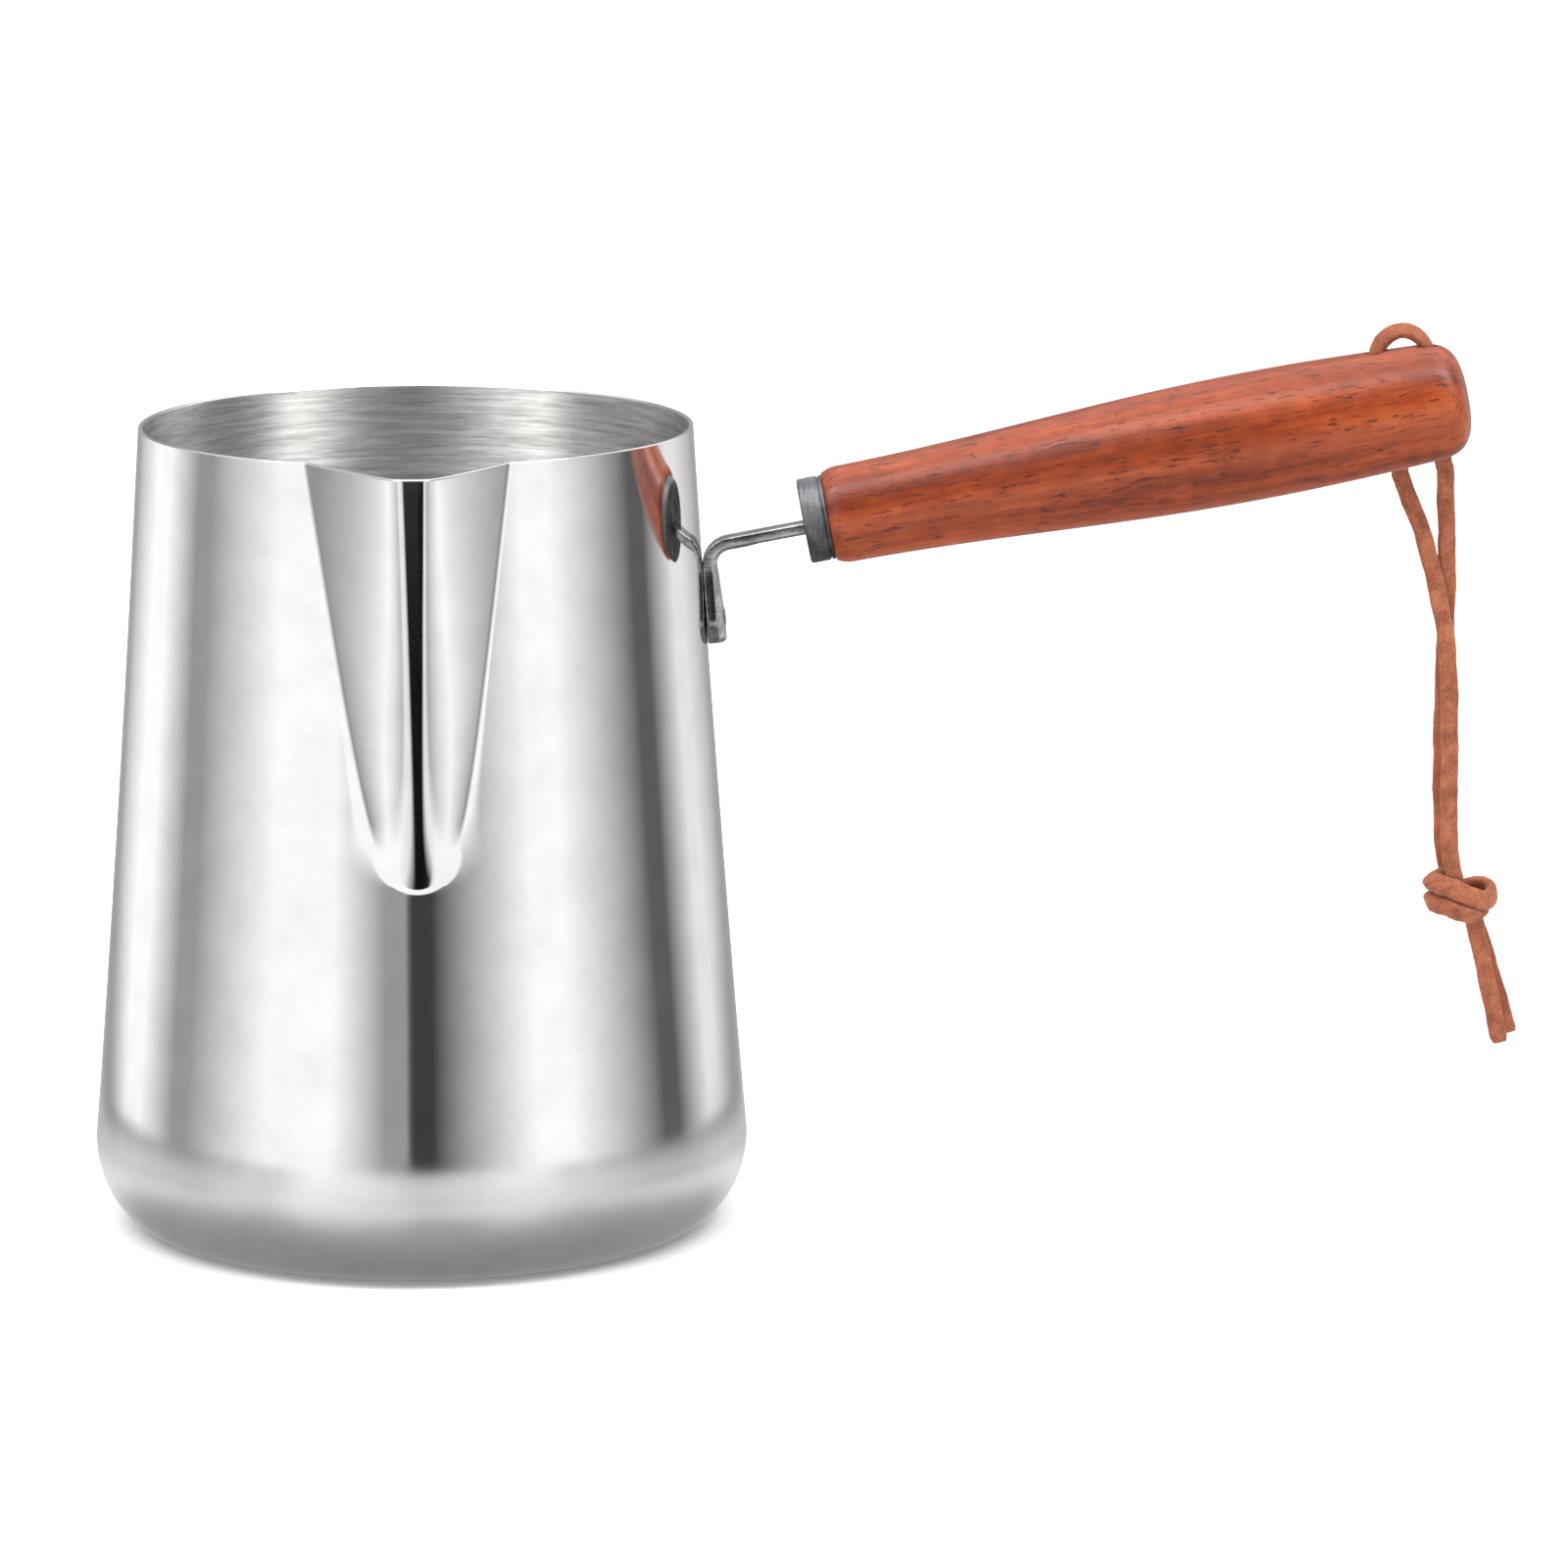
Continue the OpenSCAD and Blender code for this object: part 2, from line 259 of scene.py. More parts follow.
@dataclass(frozen=True)
class MirrorPolishedSteel:
    """Drawn stainless steel, buffed to a mirror: clear vertical bands of light and dark."""

    colour: str = "#DAD9D8"
    smear: str = "#D3D2D1"
    roughness: float = 0.045
    wave_mm: float = 30.0
    haze_mm: float = 7.0
    satin: float = 0.34
    satin_low: float = 12.0
    satin_high: float = 22.5

    def build(self) -> bpy.types.Material:
        """Buffing leaves faint haze and pressing faint waves; the round corner stays satin.

        Returns:
            The material.
        """
        material, tree, shader = new_material("stainless_steel_mirror_polished")
        place = add_node(tree, "ShaderNodeTexCoord").outputs["Object"]
        haze = add_node(
            tree, "ShaderNodeTexNoise", links={"Vector": place},
            Scale=1 / (self.haze_mm * MM), Detail=5.0, Roughness=0.6,
        )
        ramp = add_node(tree, "ShaderNodeValToRGB", links={"Fac": haze.outputs["Fac"]})
        set_stops(ramp, [(0.35, self.smear), (0.6, self.colour)])
        axes = add_node(tree, "ShaderNodeSeparateXYZ", links={"Vector": place})
        satin = add_node(
            tree, "ShaderNodeMapRange", {"interpolation_type": "SMOOTHSTEP"}, {"Value": axes.outputs["Z"]},
            From_Min=self.satin_low * MM, From_Max=self.satin_high * MM,
            To_Min=self.satin, To_Max=self.roughness,
        )
        gloss = add_node(
            tree, "ShaderNodeMath", {"operation": "MULTIPLY_ADD"},
            {0: haze.outputs["Fac"], 2: satin.outputs["Result"]},
        )
        gloss.inputs[1].default_value = self.roughness * 0.3
        wave = add_node(
            tree, "ShaderNodeTexNoise", links={"Vector": place},
            Scale=1 / (self.wave_mm * MM), Detail=1.0,
        )
        bump = add_node(
            tree, "ShaderNodeBump", links={"Height": wave.outputs["Fac"]},
            Strength=0.05, Distance=0.0006,
        )
        tree.links.new(ramp.outputs["Color"], shader.inputs["Base Color"])
        tree.links.new(gloss.outputs[0], shader.inputs["Roughness"])
        tree.links.new(bump.outputs["Normal"], shader.inputs["Normal"])
        shader.inputs["Metallic"].default_value = 1.0
        return material


@dataclass(frozen=True)
class BrushedInsideSteel:
    """The inside of the pot, brushed round its axis: soft streaks along the wall."""

    light: str = "#F6F5F3"
    dark: str = "#A9A8A6"
    roughness: float = 0.5
    streak_mm: float = 0.9

    def build(self) -> bpy.types.Material:
        """Brush lines are finer than this on real steel; they are drawn coarse enough to show.

        Returns:
            The material.
        """
        material, tree, shader = new_material("stainless_steel_brushed_inside")
        place = add_node(tree, "ShaderNodeTexCoord").outputs["Object"]
        axes = add_node(tree, "ShaderNodeSeparateXYZ", links={"Vector": place})
        turn = add_node(
            tree, "ShaderNodeMath", {"operation": "ARCTAN2"},
            {0: axes.outputs["Y"], 1: axes.outputs["X"]},
        )
        height = add_node(tree, "ShaderNodeMath", {"operation": "MULTIPLY"}, {0: axes.outputs["Z"]})
        height.inputs[1].default_value = 1 / (self.streak_mm * MM)
        along = add_node(tree, "ShaderNodeMath", {"operation": "MULTIPLY"}, {0: turn.outputs[0]})
        along.inputs[1].default_value = 3.0
        spread = add_node(
            tree, "ShaderNodeCombineXYZ",
            links={"X": along.outputs[0], "Z": height.outputs[0]},
        )
        streak = add_node(
            tree, "ShaderNodeTexNoise", links={"Vector": spread.outputs[0]},
            Scale=1.0, Detail=6.0, Roughness=0.75,
        )
        ramp = add_node(tree, "ShaderNodeValToRGB", links={"Fac": streak.outputs["Fac"]})
        set_stops(ramp, [(0.3, self.dark), (0.62, self.light)])
        bump = add_node(
            tree, "ShaderNodeBump", links={"Height": streak.outputs["Fac"]},
            Strength=0.35, Distance=0.00008,
        )
        turned = add_node(tree, "ShaderNodeTangent", {"direction_type": "RADIAL", "axis": "Z"})
        tree.links.new(ramp.outputs["Color"], shader.inputs["Base Color"])
        tree.links.new(bump.outputs["Normal"], shader.inputs["Normal"])
        tree.links.new(turned.outputs[0], shader.inputs["Tangent"])
        shader.inputs["Metallic"].default_value = 1.0
        shader.inputs["Roughness"].default_value = self.roughness
        shader.inputs["Anisotropic"].default_value = 1.0
        shader.inputs["Anisotropic Rotation"].default_value = 0.25
        return material


@dataclass(frozen=True)
class StripSteel:
    """Rolled or turned steel that was only tumbled: grey, satin, with fine scratches."""

    name: str
    light: str
    dark: str
    roughness: float
    grain_mm: float = 0.5
    stretch: Point = (0.12, 1.0, 1.0)

    def build(self) -> bpy.types.Material:
        """Scratches run with the rolling, and the worn places are a little brighter.

        Returns:
            The material.
        """
        material, tree, shader = new_material(self.name)
        place = add_node(tree, "ShaderNodeTexCoord").outputs["Object"]
        drawn = add_node(tree, "ShaderNodeMapping", links={"Vector": place}, Scale=self.stretch)
        grain = add_node(
            tree, "ShaderNodeTexNoise", links={"Vector": drawn.outputs[0]},
            Scale=1 / (self.grain_mm * MM), Detail=5.0, Roughness=0.7,
        )
        cloud = add_node(
            tree, "ShaderNodeTexNoise", links={"Vector": place},
            Scale=1 / (2.5 * MM), Detail=2.0,
        )
        both = add_node(
            tree, "ShaderNodeMath", {"operation": "ADD"},
            {0: grain.outputs["Fac"], 1: cloud.outputs["Fac"]},
        )
        share = add_node(tree, "ShaderNodeMapRange", links={"Value": both.outputs[0]}, From_Max=2.0)
        ramp = add_node(tree, "ShaderNodeValToRGB", links={"Fac": share.outputs["Result"]})
        set_stops(ramp, [(0.38, self.dark), (0.6, self.light)])
        gloss = add_node(
            tree, "ShaderNodeMapRange", links={"Value": cloud.outputs["Fac"]},
            To_Min=self.roughness * 0.7, To_Max=self.roughness * 1.3,
        )
        bump = add_node(
            tree, "ShaderNodeBump", links={"Height": grain.outputs["Fac"]},
            Strength=0.3, Distance=0.00006,
        )
        tree.links.new(ramp.outputs["Color"], shader.inputs["Base Color"])
        tree.links.new(gloss.outputs["Result"], shader.inputs["Roughness"])
        tree.links.new(bump.outputs["Normal"], shader.inputs["Normal"])
        shader.inputs["Metallic"].default_value = 1.0
        return material


@dataclass(frozen=True)
class OiledHardwood:
    """Turned red-brown hardwood, sanded and oiled: long grain, short dark pores, satin shine."""

    light: str = "#A64D24"
    middle: str = "#8C3A18"
    dark: str = "#6A2810"
    pore: str = "#3A1408"
    roughness: float = 0.36
    figure_mm: float = 5.0
    pore_mm: float = 0.45
    pore_length: float = 14.0

    def build(self, tilt_deg: float) -> bpy.types.Material:
        """Makes the wood with its grain along the grip.

        Args:
            tilt_deg: how far the grip's axis is tilted up from +X.

        Returns:
            The finished material.
        """
        material, tree, shader = new_material("hardwood_turned_and_oiled")
        place = add_node(tree, "ShaderNodeTexCoord").outputs["Object"]
        level = add_node(
            tree, "ShaderNodeMapping", {"vector_type": "POINT"}, {"Vector": place},
            Rotation=(0.0, math.radians(tilt_deg), 0.0),
        )
        grain = add_node(
            tree, "ShaderNodeMapping", links={"Vector": level.outputs[0]},
            Scale=(1 / self.pore_length, 1.0, 1.0),
        )
        figure = add_node(
            tree, "ShaderNodeTexNoise", links={"Vector": grain.outputs[0]},
            Scale=1 / (self.figure_mm * MM), Detail=4.0, Roughness=0.55, Distortion=0.6,
        )
        fibre = add_node(
            tree, "ShaderNodeTexNoise", links={"Vector": grain.outputs[0]},
            Scale=1 / (0.9 * MM), Detail=5.0, Roughness=0.7,
        )
        mottle = add_node(
            tree, "ShaderNodeTexNoise", links={"Vector": level.outputs[0]},
            Scale=1 / (3.2 * MM), Detail=3.0, Roughness=0.6,
        )
        sum_a = add_node(
            tree, "ShaderNodeMath", {"operation": "MULTIPLY_ADD"},
            {0: fibre.outputs["Fac"], 2: figure.outputs["Fac"]},
        )
        sum_a.inputs[1].default_value = 0.55
        sum_b = add_node(
            tree, "ShaderNodeMath", {"operation": "MULTIPLY_ADD"},
            {0: mottle.outputs["Fac"], 2: sum_a.outputs[0]},
        )
        sum_b.inputs[1].default_value = 0.45
        share = add_node(tree, "ShaderNodeMapRange", links={"Value": sum_b.outputs[0]}, From_Max=2.0)
        tint = add_node(tree, "ShaderNodeValToRGB", links={"Fac": share.outputs["Result"]})
        set_stops(tint, [(0.38, self.dark), (0.5, self.middle), (0.62, self.light)])
        short = add_node(
            tree, "ShaderNodeMapping", links={"Vector": level.outputs[0]},
            Scale=(0.16, 1.0, 1.0),
        )
        cells = add_node(
            tree, "ShaderNodeTexNoise", links={"Vector": short.outputs[0]},
            Scale=1 / (self.pore_mm * MM), Detail=2.0, Roughness=0.5,
        )
        pores = add_node(
            tree, "ShaderNodeMapRange", links={"Value": cells.outputs["Fac"]},
            From_Min=0.6, From_Max=0.68, To_Min=0.0, To_Max=0.75,
        )
        colour = add_node(
            tree, "ShaderNodeMix", {"data_type": "RGBA"},
            {0: pores.outputs["Result"], 6: tint.outputs["Color"]},
        )
        colour.inputs[7].default_value = linear(self.pore)
        gloss = add_node(
            tree, "ShaderNodeMapRange", links={"Value": fibre.outputs["Fac"]},
            To_Min=self.roughness * 0.8, To_Max=self.roughness * 1.25,
        )
        relief = add_node(
            tree, "ShaderNodeMath", {"operation": "SUBTRACT"},
            {0: fibre.outputs["Fac"], 1: pores.outputs["Result"]},
        )
        bump = add_node(
            tree, "ShaderNodeBump", links={"Height": relief.outputs[0]},
            Strength=0.3, Distance=0.00012,
        )
        tree.links.new(colour.outputs[2], shader.inputs["Base Color"])
        tree.links.new(gloss.outputs["Result"], shader.inputs["Roughness"])
        tree.links.new(bump.outputs["Normal"], shader.inputs["Normal"])
        shader.inputs["IOR"].default_value = 1.5
        shader.inputs["Specular IOR Level"].default_value = 0.35
        shader.inputs["Coat Weight"].default_value = 0.08
        shader.inputs["Coat Roughness"].default_value = 0.25
        return material


@dataclass(frozen=True)
class NappedSuede:
    """Split leather thong with a brushed nap: dull red-brown, lighter where fibres stand up."""

    light: str = "#B06C4C"
    middle: str = "#96543A"
    dark: str = "#6E3A27"
    nap_mm: float = 0.35

    def build(self) -> bpy.types.Material:
        """The nap is drawn a little coarser than real so that it shows.

        Returns:
            The material.
        """
        material, tree, shader = new_material("suede_thong_napped")
        place = add_node(tree, "ShaderNodeTexCoord").outputs["Object"]
        nap = add_node(
            tree, "ShaderNodeTexNoise", links={"Vector": place},
            Scale=1 / (self.nap_mm * MM), Detail=4.0, Roughness=0.75,
        )
        patch = add_node(
            tree, "ShaderNodeTexNoise", links={"Vector": place},
            Scale=1 / (2.4 * MM), Detail=3.0, Roughness=0.6,
        )
        both = add_node(
            tree, "ShaderNodeMath", {"operation": "ADD"},
            {0: nap.outputs["Fac"], 1: patch.outputs["Fac"]},
        )
        share = add_node(tree, "ShaderNodeMapRange", links={"Value": both.outputs[0]}, From_Max=2.0)
        tint = add_node(tree, "ShaderNodeValToRGB", links={"Fac": share.outputs["Result"]})
        set_stops(tint, [(0.36, self.dark), (0.5, self.middle), (0.64, self.light)])
        bump = add_node(
            tree, "ShaderNodeBump", links={"Height": nap.outputs["Fac"]},
            Strength=0.7, Distance=0.00025,
        )
        tree.links.new(tint.outputs["Color"], shader.inputs["Base Color"])
        tree.links.new(bump.outputs["Normal"], shader.inputs["Normal"])
        shader.inputs["Roughness"].default_value = 0.92
        shader.inputs["Sheen Weight"].default_value = 0.35
        shader.inputs["Sheen Roughness"].default_value = 0.5
        shader.inputs["Sheen Tint"].default_value = linear("#E3B598")
        return material


@dataclass(frozen=True)
class PalePaper:
    """Pale paper sweep under the pot: even, matt, almost white."""

    colour: str = "#FBFBFA"
    shade: str = "#F8F8F7"

    def build(self) -> bpy.types.Material:
        """Its fibres show only as a very faint change of tone.

        Returns:
            The material.
        """
        material, tree, shader = new_material("paper_sweep_matt")
        place = add_node(tree, "ShaderNodeTexCoord").outputs["Object"]
        fibre = add_node(tree, "ShaderNodeTexNoise", links={"Vector": place}, Scale=900.0, Detail=2.0)
        tint = add_node(tree, "ShaderNodeValToRGB", links={"Fac": fibre.outputs["Fac"]})
        set_stops(tint, [(0.3, self.shade), (0.7, self.colour)])
        tree.links.new(tint.outputs["Color"], shader.inputs["Base Color"])
        shader.inputs["Roughness"].default_value = 0.9
        shader.inputs["Specular IOR Level"].default_value = 0.1
        return material


# ---------------------------------------------------------------------------
# Studio: camera, light and floor
# ---------------------------------------------------------------------------


class Tone(Enum):
    """The few tones of cloth and card that stand round the pot, as sRGB greys."""

    NONE = 0
    NIGHT = 20
    BLACK = 60
    DARK = 90
    GREY = 150
    PALE = 225
    WHITE = 250
    CLEAR = 255


@dataclass(frozen=True)
class Card:
    """A panel of the studio: its middle and half width, in degrees of the wall that mirrors it."""

    middle: float
    half: float
    tone: Tone

    def stops(self) -> tuple[tuple[float, int], ...]:
        """The panel's two edges; the light between neighbouring panels blends evenly."""
        return (self.middle - self.half, self.tone.value), (self.middle + self.half, self.tone.value)


@dataclass(frozen=True)
class Softbox:
    """A soft oblong light: its place and sides in metres and its power in watts."""

    name: str
    at: Point
    size: tuple[float, float]
    power: float


@dataclass
class Studio:
    """The pale floor, the soft light all round and the camera.

    A polished pot shows the room, so the room is a ring of soft panels: bright ones with
    dark gaps between them. Each place in the ring is half the angle from the camera's side,
    which is the wall's own angle where that place shows. Below the ring is a pale table
    with a dark gap at its front; its stops are shares of the way from straight down to up.
    """

    aim: Point = (55.75, 0.0, 67.2)
    distance: float = 1213.5
    azimuth_deg: float = -0.9
    elevation_deg: float = 11.02
    lens: float = 182.2
    sensor: float = 36.0
    ring_turn_deg: float = 1.8
    room_light: float = 1.47
    ring: tuple[Card, ...] = (
        Card(-85, 5, Tone.GREY), Card(-63, 3, Tone.WHITE), Card(-48, 2, Tone.GREY),
        Card(-22, 6, Tone.WHITE), Card(-4.5, 2, Tone.GREY), Card(0, 2, Tone.BLACK),
        Card(24, 3, Tone.WHITE), Card(50, 2, Tone.DARK), Card(64, 2, Tone.PALE),
        Card(85, 5, Tone.GREY),
    )
    overhead: tuple[Card, ...] = (
        Card(-80, 8, Tone.GREY), Card(-22, 5, Tone.WHITE), Card(3, 8, Tone.NIGHT),
        Card(27, 4, Tone.WHITE), Card(48, 4, Tone.GREY), Card(62, 3, Tone.WHITE),
        Card(82, 6, Tone.GREY),
    )
    gap: tuple[Card, ...] = (
        Card(-50, 41, Tone.CLEAR), Card(2.5, 4.5, Tone.NIGHT), Card(50, 36, Tone.CLEAR),
    )
    sides: tuple[Card, ...] = (
        Card(-60, 34, Tone.CLEAR), Card(0, 19, Tone.NONE), Card(60, 34, Tone.CLEAR),
    )
    table: tuple[tuple[float, int], ...] = ((0.0, 130), (0.2, 160), (0.3, 250))
    table_side: tuple[tuple[float, int], ...] = ((0.0, 130), (0.27, 150), (0.34, 250), (0.4, 145))
    gap_height: tuple[tuple[float, int], ...] = ((0.2, 0), (0.235, 255), (0.277, 255), (0.287, 0))
    table_share: tuple[tuple[float, int], ...] = ((0.405, 255), (0.42, 0))
    overhead_share: tuple[tuple[float, int], ...] = ((0.515, 0), (0.54, 255))
    ceiling_share: tuple[tuple[float, int], ...] = ((0.9, 0), (1.0, 220))
    ceiling: tuple[tuple[float, int], ...] = ((0.0, 235), (1.0, 250))
    lit_point: Point = (0.07, 0.0, 0.08)
    softboxes: tuple[Softbox, ...] = (
        Softbox("softbox_top", (0.1, -0.4, 1.25), (1.3, 0.22), 7.0),
        Softbox("softbox_left", (-0.8, -0.35, 1.25), (0.3, 0.8), 9.0),
        Softbox("softbox_right", (0.9, -0.35, 1.25), (0.3, 0.8), 8.0),
        Softbox("softbox_far", (0.1, 1.2, 2.2), (3.0, 2.0), 22.0),
    )

    def place_camera(self) -> bpy.types.Object:
        """Puts the camera at the viewing angle and makes it the scene's.

        Returns:
            The camera.
        """
        azimuth, elevation = math.radians(self.azimuth_deg), math.radians(self.elevation_deg)
        ahead = Vector((
            -math.sin(azimuth) * math.cos(elevation),
            math.cos(azimuth) * math.cos(elevation),
            -math.sin(elevation),
        ))
        data = bpy.data.cameras.new("camera")
        data.sensor_width = self.sensor
        data.lens = self.lens
        data.clip_start = 0.05
        data.clip_end = 50.0
        camera = bpy.data.objects.new("camera", data)
        camera.location = (Vector(self.aim) - self.distance * ahead) * MM
        camera.rotation_euler = ahead.to_track_quat("-Z", "Y").to_euler()
        bpy.context.scene.collection.objects.link(camera)
        bpy.context.scene.camera = camera
        bpy.context.scene.view_settings.view_transform = "Standard"
        return camera

    def tones(
        self, tree: bpy.types.NodeTree, socket: bpy.types.NodeSocket, stops: Sequence[tuple[float, int]]
    ) -> bpy.types.NodeSocket:
        """Looks up grey tones along a value.

        Args:
            tree: the world's node tree.
            socket: the value, from 0 to 1.
            stops: places and sRGB tones; places beyond 1 are half angles in degrees.

        Returns:
            The tone's socket.
        """
        degrees = max(abs(p) for p, _ in stops) > 1
        ramp = add_node(tree, "ShaderNodeValToRGB", links={"Fac": socket})
        set_stops(ramp, [(p / 180 + 0.5 if degrees else p, grey(t)) for p, t in stops])
        return ramp.outputs["Color"]

    def panels(
        self, tree: bpy.types.NodeTree, socket: bpy.types.NodeSocket, cards: Sequence[Card]
    ) -> bpy.types.NodeSocket:
        """Stands a row of cards along the turn about the pot and returns their tone's socket."""
        return self.tones(tree, socket, [stop for card in cards for stop in card.stops()])

    def mix(
        self, tree: bpy.types.NodeTree, share: bpy.types.NodeSocket, first: bpy.types.NodeSocket,
        second: bpy.types.NodeSocket, kind: str = "MIX",
    ) -> bpy.types.NodeSocket:
        """Mixes two tones by a share and returns the result's socket."""
        node = add_node(
            tree, "ShaderNodeMix", {"data_type": "RGBA", "blend_type": kind},
            {0: share, 6: first, 7: second},
        )
        return node.outputs[2]

    def light_room(self) -> None:
        """Makes the ring of soft panels as the world, over a light floor tone."""
        world = bpy.data.worlds.new("studio_room")
        bpy.context.scene.world = world
        world.use_nodes = True
        tree = world.node_tree
        tree.nodes.clear()
        way = add_node(tree, "ShaderNodeTexCoord").outputs["Generated"]
        axes = add_node(tree, "ShaderNodeSeparateXYZ", links={"Vector": way})
        front = add_node(tree, "ShaderNodeMath", {"operation": "MULTIPLY"}, {0: axes.outputs["Y"]})
        front.inputs[1].default_value = -1.0
        turn = add_node(
            tree, "ShaderNodeMath", {"operation": "ARCTAN2"},
            {0: axes.outputs["X"], 1: front.outputs[0]},
        )
        half_turn = add_node(
            tree, "ShaderNodeMapRange", links={"Value": turn.outputs[0]},
            From_Min=math.radians(self.ring_turn_deg - 180),
            From_Max=math.radians(self.ring_turn_deg + 180), To_Min=-90.0, To_Max=90.0,
        )
        share = add_node(
            tree, "ShaderNodeMapRange", links={"Value": half_turn.outputs["Result"]},
            From_Min=-90.0, From_Max=90.0,
        )
        place = share.outputs["Result"]
        panels = self.panels(tree, place, self.ring)
        rise = add_node(
            tree, "ShaderNodeMapRange", links={"Value": axes.outputs["Z"]},
            From_Min=-1.0, From_Max=1.0,
        )
        height = rise.outputs["Result"]
        table = self.mix(
            tree, self.panels(tree, place, self.sides), self.tones(tree, height, self.table),
            self.tones(tree, height, self.table_side),
        )
        under = self.tones(tree, height, self.gap_height)
        low = self.mix(tree, under, table, self.panels(tree, place, self.gap), "MULTIPLY")
        above = self.panels(tree, place, self.overhead)
        ceiling = self.tones(tree, height, self.ceiling)
        sky = self.mix(tree, self.tones(tree, height, self.ceiling_share), above, ceiling)
        ring = self.mix(tree, self.tones(tree, height, self.overhead_share), panels, sky)
        room = self.mix(tree, self.tones(tree, height, self.table_share), ring, low)
        seen = add_node(tree, "ShaderNodeLightPath")
        lit = add_node(
            tree, "ShaderNodeBackground", links={"Color": room}, Strength=self.room_light
        )
        plain = add_node(tree, "ShaderNodeBackground", Color=(1.0, 1.0, 1.0, 1.0), Strength=1.0)
        chosen = add_node(
            tree, "ShaderNodeMixShader",
            links={0: seen.outputs["Is Camera Ray"], 1: lit.outputs[0], 2: plain.outputs[0]},
        )
        add_node(tree, "ShaderNodeOutputWorld", links={"Surface": chosen.outputs[0]})

    def hang_softbox(self, box: Softbox) -> None:
        """Hangs a soft oblong light that faces the pot.

        Args:
            box: the light's name, place, size and power.
        """
        data = bpy.data.lights.new(box.name, "AREA")
        data.shape = "RECTANGLE"
        data.size, data.size_y = box.size
        data.energy = box.power
        lamp = bpy.data.objects.new(box.name, data)
        lamp.location = box.at
        way = Vector(self.lit_point) - Vector(box.at)
        lamp.rotation_euler = way.to_track_quat("-Z", "Y").to_euler()
        bpy.context.scene.collection.objects.link(lamp)

    def lay_floor(self) -> None:
        """Lays the pale floor; the polished steel shows the soft panels instead of it."""
        patch = Patch()
        side = 2500.0
        rows = [
            patch.add_row([(x * side, y * side, -0.02) for x in (-1.0, 1.0)], [(0, 0, 1)] * 2)
            for y in (-1.0, 1.0)
        ]
        patch.bridge(rows[0], rows[1])
        floor = patch.to_object("floor", [PalePaper().build()])
        floor.visible_glossy = False


# ---------------------------------------------------------------------------
# Pot wall and spout
# ---------------------------------------------------------------------------


